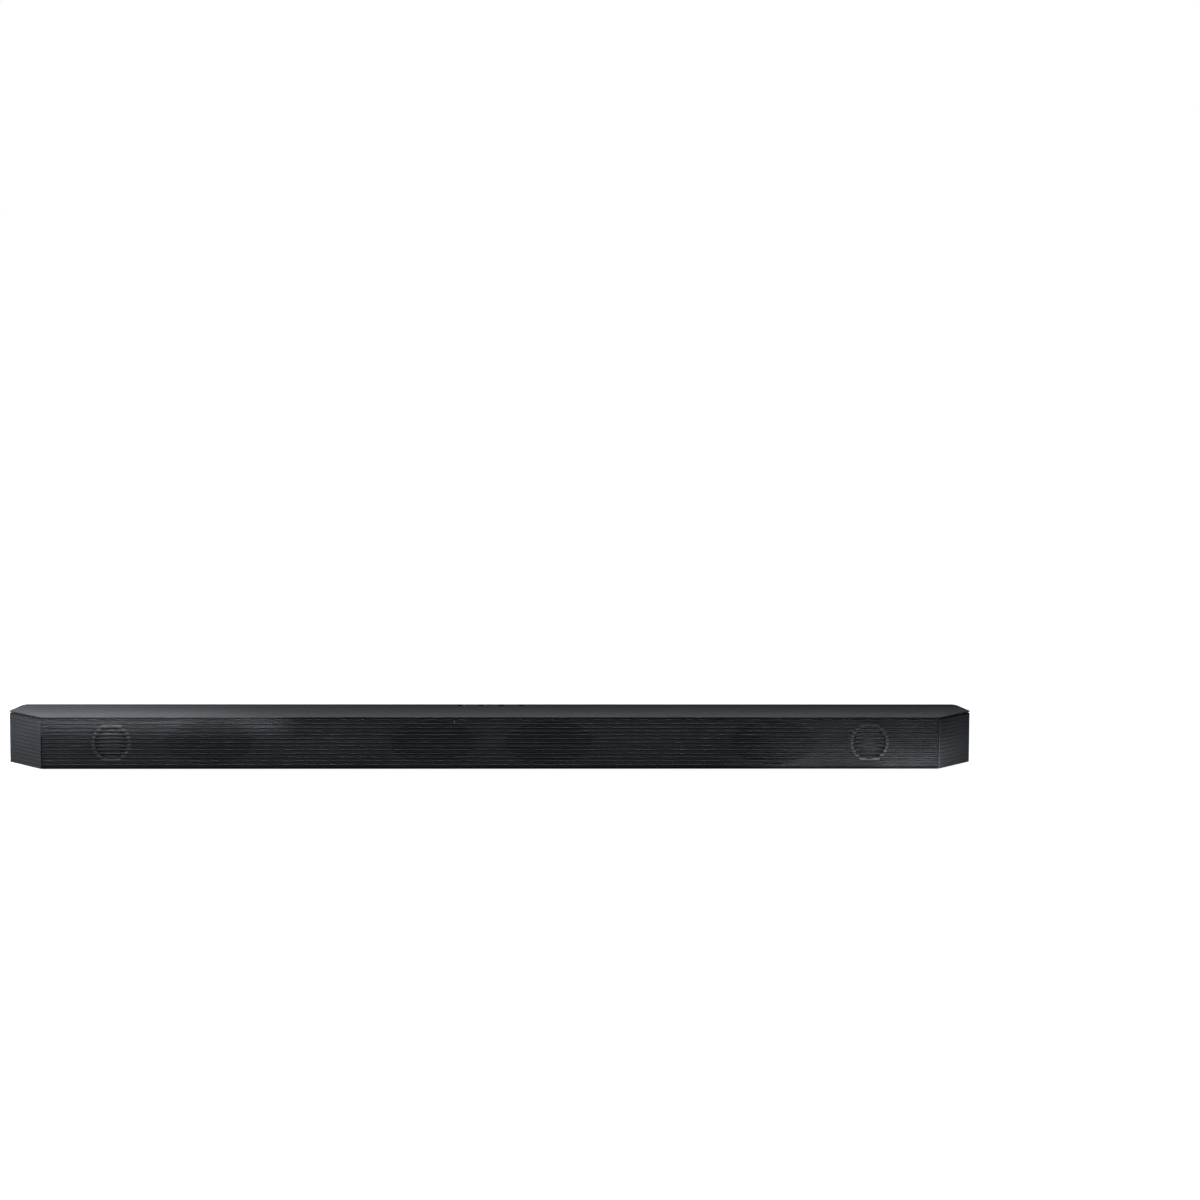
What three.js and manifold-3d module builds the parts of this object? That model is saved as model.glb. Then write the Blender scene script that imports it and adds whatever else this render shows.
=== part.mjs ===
// A soundbar: a low, wide loudspeaker with a slatted front and slatted ends, made as the
// separate pieces that it is assembled from. Sizes are in millimetres. X runs along the
// length, the front faces -Y, +Z is up, and the origin is on the table under the middle.

import * as THREE from 'three';
import { mergeVertices } from 'three/addons/utils/BufferGeometryUtils.js';
import Module from 'manifold-3d';

const wasm = await Module();
wasm.setup();

// ---------- driving dimensions ----------

// Plan of the body: a flat front, ends that swell to a widest point, a slightly narrower back.
const DEPTH = 105;
const FRONT_HALF = 478;
const WIDEST_HALF = 515.9;
const WIDEST_Y = -3.9;
const BACK_HALF = 504.3;
const FRONT = -DEPTH / 2;
const BACK = DEPTH / 2;

// Heights above the table.
const TOP = 60.8;
const BODY_BOTTOM = 5.2;
const PLINTH_BOTTOM = 2.7;
const GAP = 0.3;                 // clearance between pieces that touch

// Top cover: a thin lip over a shadow gap, thicker inside, easing down at the back.
const LIP_BOTTOM = 59.4;
const COVER_BOTTOM = 57.8;
const COVER_INSET = 4.5;
const SLOPE_START_Y = 38;
const SLOPE_DROP = 1.2;

// Slats of the front and end grilles.
const SLAT_COUNT = 13;
const SLAT_PITCH = 4;
const SLAT_HEIGHT = 1.7;
const FIRST_SLAT_Z = 57.3;
const SLAT_DEPTH = 2.4;
const FINE_RIB_HEIGHT = 0.8;
const FINE_RIB_DEPTH = 1.4;
const GRILLE_DEPTH = 4;
const GRILLE_TOP = FIRST_SLAT_Z + 0.8;
const BOTTOM_RAIL_TOP = 7.3;
const END_GROOVE_DEPTH = 0.5;
const CORNER_X = 477.2;          // where the front grille stops and the end grilles start

// Case.
const WALL = 2.2;
const FLOOR_TOP = BODY_BOTTOM + WALL;
const BACK_WALL_HALF = 496.7;
const BACK_WALL_TOP = LIP_BOTTOM - GAP;

// Recess for the plugs, open below and at the back.
const BAY_HALF = 98;
const BAY_FRONT = 12;
const BAY_TOP = 31;
const BAY_WALL = 2;
const SOCKET_FACE = BAY_FRONT + BAY_WALL + GAP;
const SOCKET_Z = 17;
const PORT_BOARD_BACK = 2.8;

// Keys on the top, near the back.
const KEY_PITCH = 22.2;
const KEY_WIDTH = 15.6;
const KEY_Y = [31.5, 48.1];
const WELL_HALF = 36.6;
const WELL_Y = [31, 48.6];
const WELL_FLOOR = 56.8;
const KEY_TOP = TOP - 0.6;
const KEY_TRAVEL = 0.5;
const KEY_STEM_RADIUS = 2;
const BOARD_THICKNESS = 1.6;

// Loudspeakers.
const DRIVER_Z = (TOP + BODY_BOTTOM) / 2;
const RING_DRIVER_X = 403.5;
const WOOFER_X = 300;
const CENTRE_WOOFER_X = 62;
const BAFFLE_Y = [-44.5, -41.5];

// Status light.
const LIGHT_X = -39.4;
const LIGHT_WIDTH = 1;
const LIGHT_Z = [52.8, 56.8];

// ---------- solids ----------

// Turns a closed three.js geometry into a manifold solid with its faces pointing out.
function solid(geometry) {
  const bare = geometry.clone();
  bare.deleteAttribute('normal');
  bare.deleteAttribute('uv');
  const merged = mergeVertices(bare, 1e-4);
  const at = merged.attributes.position;
  const corners = [];
  let volume = 0;
  const [a, b, c] = [new THREE.Vector3(), new THREE.Vector3(), new THREE.Vector3()];
  for (let i = 0; i < merged.index.count; i += 3) {
    const ids = [0, 1, 2].map((k) => merged.index.getX(i + k));
    if (ids[0] === ids[1] || ids[1] === ids[2] || ids[2] === ids[0]) continue;
    corners.push(ids);
    [a, b, c].forEach((v, k) => v.fromBufferAttribute(at, ids[k]));
    volume += a.dot(b.clone().cross(c));
  }
  if (volume < 0) corners.forEach((ids) => ids.reverse());
  return new wasm.Manifold(new wasm.Mesh({
    numProp: 3,
    vertProperties: new Float32Array(at.array),
    triVerts: new Uint32Array(corners.flat()),
  }));
}

function join(...pieces) {
  return pieces.flat().reduce((whole, piece) => whole.add(piece));
}

function cut(whole, ...tools) {
  return tools.flat().reduce((rest, tool) => rest.subtract(tool), whole);
}

// A box between two corners, each direction given as [low, high].
function block(x, y, z) {
  const geometry = new THREE.BoxGeometry(x[1] - x[0], y[1] - y[0], z[1] - z[0]);
  geometry.translate((x[0] + x[1]) / 2, (y[0] + y[1]) / 2, (z[0] + z[1]) / 2);
  return solid(geometry);
}

function centredBlock(x, width, y, z) {
  return block([x - width / 2, x + width / 2], y, z);
}

// An upright cylinder.
function post(radius, x, y, z, sides = 16) {
  const geometry = new THREE.CylinderGeometry(radius, radius, z[1] - z[0], sides);
  geometry.rotateX(Math.PI / 2);
  geometry.translate(x, y, (z[0] + z[1]) / 2);
  return solid(geometry);
}

// A plan outline raised from z[0] to z[1].
function plate(shape, z, curveSegments = 4) {
  const geometry = new THREE.ExtrudeGeometry(shape, {
    depth: z[1] - z[0], bevelEnabled: false, curveSegments,
  });
  geometry.translate(0, 0, z[0]);
  return solid(geometry);
}

// A side outline, drawn as [y, z] points, drawn out along X.
function rail(points, x) {
  const shape = new THREE.Shape(points.map(([y, z]) => new THREE.Vector2(y, z)));
  const geometry = new THREE.ExtrudeGeometry(shape, { depth: x[1] - x[0], bevelEnabled: false });
  const facing = new THREE.Matrix4().makeBasis(
    new THREE.Vector3(0, 1, 0), new THREE.Vector3(0, 0, 1), new THREE.Vector3(1, 0, 0));
  geometry.applyMatrix4(facing);
  geometry.translate(x[0], 0, 0);
  return solid(geometry);
}

// A profile of [radius, y] points turned about the front-to-back axis through (x, z).
function turned(profile, x, z, stretch = 1, sides = 16) {
  const points = profile.map(([radius, y]) => new THREE.Vector2(radius, y));
  const geometry = new THREE.LatheGeometry(points, sides);
  geometry.scale(stretch, 1, 1);
  geometry.translate(x, 0, z);
  return solid(geometry);
}

function closedTurned(profile, ...rest) {
  return turned([...profile, profile[0]], ...rest);
}

// A rectangle with rounded corners, centred on (x, y).
function roundedRectangle(x, y, width, depth, radius) {
  const [w, d] = [width / 2, depth / 2];
  const shape = new THREE.Shape();
  shape.absarc(x + w - radius, y - d + radius, radius, -Math.PI / 2, 0);
  shape.absarc(x + w - radius, y + d - radius, radius, 0, Math.PI / 2);
  shape.absarc(x - w + radius, y + d - radius, radius, Math.PI / 2, Math.PI);
  shape.absarc(x - w + radius, y - d + radius, radius, Math.PI, 1.5 * Math.PI);
  return shape;
}

// The plan outline of the body, moved inwards by inset all round.
function outline(inset) {
  const corners = [
    [-FRONT_HALF, FRONT], [FRONT_HALF, FRONT], [WIDEST_HALF, WIDEST_Y],
    [BACK_HALF, BACK], [-BACK_HALF, BACK], [-WIDEST_HALF, WIDEST_Y],
  ].map(([x, y]) => new THREE.Vector2(x, y));
  const edges = corners.map((start, i) => {
    const along = corners[(i + 1) % corners.length].clone().sub(start).normalize();
    const inwards = new THREE.Vector2(-along.y, along.x);
    return { start: start.clone().addScaledVector(inwards, inset), along };
  });
  return new THREE.Shape(edges.map((edge, i) => {
    const before = edges[(i + edges.length - 1) % edges.length];
    const step = edge.start.clone().sub(before.start).cross(edge.along)
      / before.along.clone().cross(edge.along);
    return before.start.clone().addScaledVector(before.along, step);
  }));
}

// ---------- materials ----------

const finish = (color, roughness, metalness = 0) =>
  new THREE.MeshStandardMaterial({ color, roughness, metalness });

const MATERIALS = {
  cover: finish(0x46494d, 0.42),
  grille: finish(0x33363b, 0.45),
  caseShell: finish(0x26282b, 0.6),
  ring: finish(0x55585c, 0.4),
  cone: finish(0x303236, 0.75),
  rubber: finish(0x151617, 0.85),
  cloth: finish(0x141516, 0.95),
  board: finish(0x1f4a33, 0.55),
  steel: finish(0x9a9da1, 0.35, 1),
  magnet: finish(0x5d6064, 0.5, 0.8),
  aluminium: finish(0xa7aaae, 0.4, 1),
  brass: finish(0xb08d4b, 0.35, 1),
  lens: finish(0xb9bcc0, 0.2),
  key: finish(0x44474b, 0.5),
  socket: finish(0x1a1b1d, 0.5),
};

const soundbar = new THREE.Group();

function addPart(name, body, material) {
  const { vertProperties, triVerts } = body.getMesh();
  const geometry = new THREE.BufferGeometry();
  geometry.setAttribute('position', new THREE.BufferAttribute(vertProperties, 3));
  geometry.setIndex(new THREE.BufferAttribute(triVerts, 1));
  geometry.computeVertexNormals();
  const mesh = new THREE.Mesh(geometry, material);
  mesh.name = name;
  soundbar.add(mesh);
}

const SIDES = [['left', -1], ['right', 1]];

// ---------- case ----------

const SCREWS = SIDES.flatMap(([side, sign]) => [
  { name: `front_${side}_screw`, x: sign * 455, y: -36 },
  { name: `rear_${side}_screw`, x: sign * 455, y: 42 },
]);
const INSERTS = SIDES.map(([side, sign]) => ({ name: `${side}_mount_insert`, x: sign * 380, y: 34 }));
const FEET = SIDES.flatMap(([side, sign]) => [
  { name: `front_${side}_foot`, x: sign * 425, y: -10 },
  { name: `rear_${side}_foot`, x: sign * 425, y: 34 },
]);
const BOSS_TOP = 9.6;
const SCREW_HEAD_Z = [5.4, 7];
const SCREW_TOP = 18;
const INSERT_TOP = 12.5;

function topCover() {
  const keyXs = [-KEY_PITCH, 0, KEY_PITCH];
  const pocket = [
    block([-WELL_HALF - 1.6, WELL_HALF + 1.6], [WELL_Y[0] - 1.6, WELL_Y[1] + 1.4], [55.6, 59]),
    block([-WELL_HALF - 1.6, -WELL_HALF], WELL_Y, [53.1, 56]),
    block([WELL_HALF, WELL_HALF + 1.6], WELL_Y, [53.1, 56]),
  ];
  const well = block([-WELL_HALF, WELL_HALF], WELL_Y, [WELL_FLOOR, TOP + 1]);
  const stemHoles = keyXs.map((x) => post(KEY_STEM_RADIUS + 0.4, x, keyCentreY(), [55, 58], 12));
  const slope = rail(
    [[SLOPE_START_Y, TOP], [BACK + 1, TOP - SLOPE_DROP], [BACK + 1, TOP + 1], [SLOPE_START_Y, TOP + 1]],
    [-WIDEST_HALF, WIDEST_HALF]);
  const posts = SCREWS.map(({ x, y }) => post(3.5, x, y, [BOSS_TOP + GAP, COVER_BOTTOM + 0.5], 12));
  const pilotHoles = SCREWS.map(({ x, y }) => post(1.8, x, y, [BOSS_TOP, SCREW_TOP + 2], 12));
  const panel = join(
    plate(outline(0), [LIP_BOTTOM, TOP]),
    plate(outline(COVER_INSET), [COVER_BOTTOM, LIP_BOTTOM + 0.1]), pocket, posts);
  return cut(panel, slope, well, stemHoles, pilotHoles);
}

function keyCentreY() {
  return (KEY_Y[0] + KEY_Y[1]) / 2;
}

function bottomCase() {
  const floor = join(
    plate(outline(GRILLE_DEPTH + GAP), [BODY_BOTTOM, FLOOR_TOP]),
    block([-BACK_WALL_HALF, BACK_WALL_HALF], [44, BACK], [BODY_BOTTOM, FLOOR_TOP]),
    block([-BACK_WALL_HALF, BACK_WALL_HALF], [BACK - WALL, BACK], [BODY_BOTTOM, BACK_WALL_TOP]),
    plate(roundedRectangle(0, 11, 936, 70, 12), [PLINTH_BOTTOM, BODY_BOTTOM + 0.1]));
  const ribs = [-330, -275, 275, 330].map(
    (x) => centredBlock(x, 1.8, [-30, BACK - WALL + 0.1], [FLOOR_TOP - 0.1, 13]));
  const screwBosses = SCREWS.map(({ x, y }) => post(5, x, y, [FLOOR_TOP - 0.1, BOSS_TOP], 12));
  const insertBosses = INSERTS.map(({ x, y }) => post(6, x, y, [FLOOR_TOP - 0.1, INSERT_TOP + 1], 12));
  const standoffs = STANDOFFS.map(([x, y]) => post(2.5, x, y, [FLOOR_TOP - 0.1, LOW_BOARD_Z - GAP], 8));
  const holes = [
    SCREWS.map(({ x, y }) => post(3.5, x, y, [PLINTH_BOTTOM - 1, SCREW_HEAD_Z[1] + GAP], 12)),
    SCREWS.map(({ x, y }) => post(1.9, x, y, [PLINTH_BOTTOM, BOSS_TOP + 1], 12)),
    INSERTS.map(({ x, y }) => post(3.8, x, y, [PLINTH_BOTTOM - 1, INSERT_TOP + GAP], 12)),
    FEET.map(({ x, y }) => plate(roundedRectangle(x, y, 26.6, 12.6, 6.3), [PLINTH_BOTTOM - 1, 3.4])),
    block([-BAY_HALF - GAP, BAY_HALF + GAP], [BAY_FRONT - GAP, BACK + 1], [0, BAY_TOP + GAP]),
  ].flat();
  return cut(join(floor, ribs, screwBosses, insertBosses, standoffs), holes);
}

const LOW_BOARD_Z = 14;
const STANDOFFS = [[-234, 6], [-234, 38], [-126, 6], [-126, 38], [136, 25], [169, 25]];

// Each socket: its place along the recess and the outer and inner size of its housing.
const SOCKETS = [
  { name: 'power_inlet', x: -72, outer: [12, 12], bore: 3.3 },
  { name: 'optical_socket', x: -36, outer: [13, 12], inner: [8.6, 8.6] },
  { name: 'usb_socket', x: -4, outer: [14.2, 7.2], inner: [12.6, 5.2] },
  { name: 'hdmi_in_socket', x: 32, outer: [16, 6.8], inner: [14.2, 4.9] },
  { name: 'hdmi_out_socket', x: 68, outer: [16, 6.8], inner: [14.2, 4.9] },
];

function connectorBay() {
  const outside = join(
    block([-BAY_HALF, BAY_HALF], [BAY_FRONT, BACK], [PLINTH_BOTTOM, BAY_TOP]),
    [[-90, 18], [-90, 42], [90, 18], [90, 42]].map(
      ([x, y]) => post(3, x, y, [BAY_TOP - 0.1, MAIN_BOARD_Z - GAP], 8)));
  const inside = block(
    [-BAY_HALF + BAY_WALL, BAY_HALF - BAY_WALL], [BAY_FRONT + BAY_WALL, BACK + 1],
    [0, BAY_TOP - BAY_WALL]);
  const windows = SOCKETS.map(({ x, outer }) => centredBlock(
    x, outer[0] + 2 * GAP, [BAY_FRONT - 1, SOCKET_FACE + 1],
    [SOCKET_Z - outer[1] / 2 - GAP, SOCKET_Z + outer[1] / 2 + GAP]));
  return cut(outside, inside, windows);
}

function socket({ x, outer, inner, bore }) {
  const around = (size) => [SOCKET_Z - size / 2, SOCKET_Z + size / 2];
  const housing = centredBlock(x, outer[0], [PORT_BOARD_BACK + GAP, SOCKET_FACE], around(outer[1]));
  const mouthY = [SOCKET_FACE - 9.5, SOCKET_FACE + 1];
  if (!bore) return cut(housing, centredBlock(x, inner[0], mouthY, around(inner[1])));
  const pinRadius = 1.1;
  const ring = closedTurned(
    [[pinRadius, mouthY[0]], [bore, mouthY[0]], [bore, mouthY[1]], [pinRadius, mouthY[1]]],
    x, SOCKET_Z);
  return cut(housing, ring);
}

// ---------- grilles ----------

const slatZs = Array.from({ length: SLAT_COUNT }, (_, i) => FIRST_SLAT_Z - i * SLAT_PITCH);

// The front grille: slats with a finer, set-back rib between each two, on a thin web that is
// open in front of the loudspeakers.
function frontGrille() {
  const web = FRONT + SLAT_DEPTH;
  const rib = (z, height, depth) => [
    [web, z + height / 2], [web - depth, z + height / 2],
    [web - depth, z - height / 2], [web, z - height / 2]];
  const ribs = slatZs.flatMap((z, i) => [
    ...rib(z, SLAT_HEIGHT, SLAT_DEPTH),
    ...(i < SLAT_COUNT - 1 ? rib(z - SLAT_PITCH / 2, FINE_RIB_HEIGHT, FINE_RIB_DEPTH) : []),
  ]);
  const points = [
    [web, GRILLE_TOP], ...ribs.slice(1),
    [web, BOTTOM_RAIL_TOP], [FRONT, BOTTOM_RAIL_TOP], [FRONT + 0.3, 6.4], [FRONT + 0.9, 5.6],
    [FRONT + 1.8, BODY_BOTTOM], [FRONT + GRILLE_DEPTH, BODY_BOTTOM], [FRONT + GRILLE_DEPTH, GRILLE_TOP]];
  const slats = rail(points, [-CORNER_X + GAP, CORNER_X - GAP]);
  const windows = DRIVERS.map(({ x, window, stretch }) => turned(
    [[0, web - 0.05], [window, web - 0.05], [window, web + 3], [0, web + 3]], x, DRIVER_Z, stretch, 20));
  const ringRibs = [-RING_DRIVER_X, RING_DRIVER_X].flatMap((x) => slatZs.slice(0, -1).flatMap((slatZ) => {
    const z = slatZ - SLAT_PITCH / 2;
    const away = Math.abs(z - DRIVER_Z);
    if (away > RING.window - 1) return [];
    return [centredBlock(x, 2 * Math.sqrt(RING.window ** 2 - away ** 2),
      [web - FINE_RIB_DEPTH - 0.1, web + 0.1], [z - FINE_RIB_HEIGHT / 2 - 0.1, z + FINE_RIB_HEIGHT / 2 + 0.1])];
  }));
  return cut(slats, windows, ringRibs, lightSlot());
}

function lightSlot() {
  return centredBlock(
    LIGHT_X, LIGHT_WIDTH + 0.8, [FRONT - 1, BAFFLE_Y[1] + 1], [LIGHT_Z[0] - 0.4, LIGHT_Z[1] + 1.5]);
}

// An end grille wraps both faces of its end, with grooves between the slats.
function endGrille(sign) {
  const half = block([CORNER_X, WIDEST_HALF + 1], [FRONT - 1, BACK + 1], [0, TOP]);
  const band = cut(
    plate(outline(0), [BODY_BOTTOM, GRILLE_TOP]),
    plate(outline(GRILLE_DEPTH), [0, TOP]),
    block([0, BACK_WALL_HALF + GAP], [BACK - 10, BACK + 1], [0, TOP])).intersect(half);
  const grooveHeight = SLAT_PITCH - SLAT_HEIGHT;
  const reach = block([CORNER_X + 2.6, WIDEST_HALF + 5], [FRONT - 1, BACK - 2], [0, TOP]);
  const grooves = slatZs.map((z) => {
    const low = Math.max(z - SLAT_HEIGHT / 2 - grooveHeight, BOTTOM_RAIL_TOP);
    const span = [low, z - SLAT_HEIGHT / 2];
    return cut(plate(outline(-3), span), plate(outline(END_GROOVE_DEPTH), [0, TOP])).intersect(reach);
  });
  const right = cut(band, grooves);
  return sign > 0 ? right : right.mirror([1, 0, 0]);
}

// ---------- loudspeakers ----------

// Radii are those of the upright direction; stretch widens an oval driver along X.
const RING = {
  stretch: 1, window: 21.6, rim: 21, mouth: 17.5, rimFront: -49.8, domeFront: -48.6,
  cone: 13.8, coneEdge: -46.2, back: -30, plate: 11, motor: 11, coilEnd: -24.5, motorBack: -18,
};
const OVAL = {
  stretch: 2, window: 21, rim: 22.6, mouth: 19.4, rimFront: -46.4,
  cone: 15.2, coneEdge: -45.2, back: -26, plate: 12, motor: 13.5, coilEnd: -20, motorBack: -13.7,
};
const DRIVERS = [
  { name: 'left_ring_driver', x: -RING_DRIVER_X, ...RING },
  { name: 'right_ring_driver', x: RING_DRIVER_X, ...RING },
  { name: 'left_woofer', x: -WOOFER_X, ...OVAL },
  { name: 'right_woofer', x: WOOFER_X, ...OVAL },
  { name: 'centre_left_woofer', x: -CENTRE_WOOFER_X, ...OVAL },
  { name: 'centre_right_woofer', x: CENTRE_WOOFER_X, ...OVAL },
];
const RIM_BACK = BAFFLE_Y[0] - GAP;
const BASKET_WALL = 1;
const COIL = { inner: 6.2, outer: 6.9, front: -37.7 };
const NECK_Y = -38.2;
const CONE_THICKNESS = 0.9;
const POLE_RADIUS = 5.4;
const MAGNET_BORE = 7.9;

function driverFrame({ x, stretch, rim, mouth, rimFront, back, plate: throat }) {
  return closedTurned([
    [mouth, rimFront], [rim, rimFront], [rim, RIM_BACK], [mouth + BASKET_WALL, RIM_BACK],
    [throat, back], [MAGNET_BORE, back], [MAGNET_BORE, back - 1.2], [throat - 1.4, back - 1.2],
    [mouth - 0.2, RIM_BACK],
  ], x, DRIVER_Z, stretch, 20);
}

function driverMotor({ x, back, motor, motorBack }) {
  const front = back + GAP;
  return turned([
    [0, front], [POLE_RADIUS, front], [POLE_RADIUS, motorBack - 2], [MAGNET_BORE, motorBack - 2],
    [MAGNET_BORE, front], [motor, front], [motor, motorBack], [0, motorBack],
  ], x, DRIVER_Z);
}

// The moving part: a cone, or on the ring drivers a shallow dome, with the coil's tube behind it.
function driverCone({ x, stretch, cone, coneEdge, coilEnd, domeFront }) {
  const domePoints = [0, 0.3, 0.6, 0.8, 1].map(
    (run) => [cone * run, domeFront + (coneEdge - domeFront) * run ** 2]);
  const conePoints = [[0, NECK_Y - 0.3], [COIL.outer, NECK_Y], [cone, coneEdge]];
  const front = domeFront ? domePoints : conePoints;
  const back = front.map(([radius, y]) => [radius, y + CONE_THICKNESS]).reverse();
  const coilFront = domeFront ? domeFront + CONE_THICKNESS : COIL.front;
  const coil = closedTurned([
    [COIL.inner, coilFront], [COIL.outer, coilFront], [COIL.outer, coilEnd], [COIL.inner, coilEnd],
  ], x, DRIVER_Z);
  return join(turned([...front, ...back], x, DRIVER_Z, stretch), coil);
}

// The half-round rubber roll between the cone and the frame.
function driverSurround({ x, stretch, mouth, cone, coneEdge }) {
  const inner = cone + GAP;
  const outer = mouth - 0.5;
  const middle = (inner + outer) / 2;
  const low = Math.min(coneEdge + 0.9, RIM_BACK - 0.6);
  return closedTurned([
    [inner, low - 0.8], [middle - 0.8, low - 1.9], [middle + 0.8, low - 1.9], [outer, low - 0.8],
    [outer, low], [middle + 0.6, low - 1.1], [middle - 0.6, low - 1.1], [inner, low],
  ], x, DRIVER_Z, stretch);
}

function frontBaffle() {
  const panel = join(
    block([-470, 470], BAFFLE_Y, [FLOOR_TOP + GAP, COVER_BOTTOM - GAP]),
    block([-440, 440], [BAFFLE_Y[1] - 0.1, -36], [FLOOR_TOP + GAP, FLOOR_TOP + 2]));
  const holes = DRIVERS.map(({ x, mouth, stretch }) => turned([
    [0, BAFFLE_Y[0] - 1], [mouth + BASKET_WALL + GAP, BAFFLE_Y[0] - 1],
    [mouth + BASKET_WALL + GAP, BAFFLE_Y[1] + 1], [0, BAFFLE_Y[1] + 1],
  ], x, DRIVER_Z, stretch, 20));
  return cut(panel, holes, lightSlot());
}

function grilleCloth() {
  const y = FRONT + GRILLE_DEPTH + GAP;
  return cut(block([-372, 372], [y, y + 0.4], [8.6, 57.2]), lightSlot());
}

// ---------- keys ----------

const MAT_Z = [53.1, 53.9];
const DOME_TOP = 54.3;
const KEY_STEM_BOTTOM = DOME_TOP + KEY_TRAVEL + 0.1;
const KEY_BOTTOM = WELL_FLOOR + KEY_TRAVEL + 0.1;
const KEYS = [
  { name: 'power_key', x: -KEY_PITCH },
  { name: 'volume_down_key', x: 0 },
  { name: 'volume_up_key', x: KEY_PITCH },
];

function key(x) {
  const cap = roundedRectangle(x, keyCentreY(), KEY_WIDTH, KEY_Y[1] - KEY_Y[0], 1.6);
  return join(
    plate(cap, [KEY_BOTTOM, KEY_TOP], 3),
    post(KEY_STEM_RADIUS, x, keyCentreY(), [KEY_STEM_BOTTOM, KEY_BOTTOM + 0.1], 12));
}

function keyMat() {
  const sheet = block([-WELL_HALF + GAP, WELL_HALF - GAP], WELL_Y, MAT_Z);
  return join(sheet, KEYS.map(({ x }) => post(3, x, keyCentreY(), [MAT_Z[0], DOME_TOP], 12)));
}

// ---------- electronics ----------

const MAIN_BOARD_Z = 34;

function mainBoard() {
  const top = MAIN_BOARD_Z + BOARD_THICKNESS - 0.1;
  return join(
    block([-96, 96], [-4, 46], [MAIN_BOARD_Z, top + 0.1]),
    block([-24, -2], [8, 28], [top, top + 1.8]),
    block([18, 32], [10, 22], [top, top + 1.4]),
    block([44, 60], [6, 26], [top, top + 1.4]),
    block([-72, -52], [4, 18], [top, top + 6]),
    block([-8, 8], [34, 40], [top, top + 4]));
}

function portBoard() {
  return block([-92, 92], [PORT_BOARD_BACK - BOARD_THICKNESS, PORT_BOARD_BACK], [8.5, 32]);
}

function amplifierBoard() {
  const top = LOW_BOARD_Z + BOARD_THICKNESS;
  return join(
    block([-240, -120], [0, 44], [LOW_BOARD_Z, top]),
    [-232, -214, -146, -128].map((x) => post(4, x, 40 - 36 * (x > -180), [top - 0.1, top + 14], 10)));
}

function heatSink() {
  const base = LOW_BOARD_Z + BOARD_THICKNESS + GAP;
  const fins = Array.from({ length: 9 }, (_, i) => centredBlock(-180 + (i - 4) * 6, 1.5, [10, 34],
    [base + 2, base + 16]));
  return join(block([-208, -152], [10, 34], [base, base + 2.1]), fins);
}

function wirelessModule() {
  return join(
    block([130, 175], [12, 38], [LOW_BOARD_Z, LOW_BOARD_Z + 1.2]),
    block([134, 158], [15, 35], [LOW_BOARD_Z + 1.1, LOW_BOARD_Z + 4]));
}

// ---------- fasteners and feet ----------

function screw({ x, y }) {
  return join(
    post(2.9, x, y, SCREW_HEAD_Z, 12),
    post(1.5, x, y, [SCREW_HEAD_Z[1] - 0.1, SCREW_TOP], 8));
}

function insert({ x, y }) {
  const z = [PLINTH_BOTTOM + 0.2, INSERT_TOP];
  return cut(post(3.5, x, y, z, 12), post(1.65, x, y, [0, 20], 12));
}

function foot({ x, y }) {
  return plate(roundedRectangle(x, y, 26, 12, 6), [0, 3.1], 5);
}

// ---------- assembly ----------

addPart('bottom_case', bottomCase(), MATERIALS.caseShell);
addPart('connector_bay', connectorBay(), MATERIALS.caseShell);
addPart('top_cover', topCover(), MATERIALS.cover);
addPart('front_grille', frontGrille(), MATERIALS.grille);
SIDES.forEach(([side, sign]) => addPart(`${side}_end_grille`, endGrille(sign), MATERIALS.grille));
addPart('grille_cloth', grilleCloth(), MATERIALS.cloth);
addPart('front_baffle', frontBaffle(), MATERIALS.caseShell);

DRIVERS.forEach((driver) => {
  const rimFinish = driver.stretch === 1 ? MATERIALS.ring : MATERIALS.caseShell;
  addPart(`${driver.name}_frame`, driverFrame(driver), rimFinish);
  addPart(`${driver.name}_motor`, driverMotor(driver), MATERIALS.magnet);
  addPart(`${driver.name}_surround`, driverSurround(driver), MATERIALS.rubber);
  addPart(`${driver.name}_cone`, driverCone(driver), MATERIALS.cone);
});

KEYS.forEach(({ name, x }) => addPart(name, key(x), MATERIALS.key));
addPart('key_mat', keyMat(), MATERIALS.rubber);
addPart('key_board', block([-38, 38], [30.9, 48.6], [51.2, 52.8]), MATERIALS.board);
addPart('key_ribbon', block([-5, 5], [30.1, 30.6], [41.6, 52.5]), MATERIALS.cloth);

addPart('status_light_guide', centredBlock(
  LIGHT_X, LIGHT_WIDTH, [FRONT + 0.2, BAFFLE_Y[1] - GAP], LIGHT_Z), MATERIALS.lens);
addPart('status_light_board', centredBlock(
  LIGHT_X, 13, [BAFFLE_Y[1] + GAP, BAFFLE_Y[1] + GAP + BOARD_THICKNESS], [51, 57]), MATERIALS.board);

addPart('main_board', mainBoard(), MATERIALS.board);
addPart('port_board', portBoard(), MATERIALS.board);
addPart('amplifier_board', amplifierBoard(), MATERIALS.board);
addPart('heat_sink', heatSink(), MATERIALS.aluminium);
addPart('wireless_module', wirelessModule(), MATERIALS.steel);
SOCKETS.forEach((place) => addPart(place.name, socket(place), MATERIALS.socket));

SCREWS.forEach((place) => addPart(place.name, screw(place), MATERIALS.steel));
INSERTS.forEach((place) => addPart(place.name, insert(place), MATERIALS.brass));
FEET.forEach((place) => addPart(place.name, foot(place), MATERIALS.rubber));

export default soundbar;
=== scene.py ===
import math

import bmesh
import bpy
import numpy as np
from mathutils import Matrix, Vector


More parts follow.
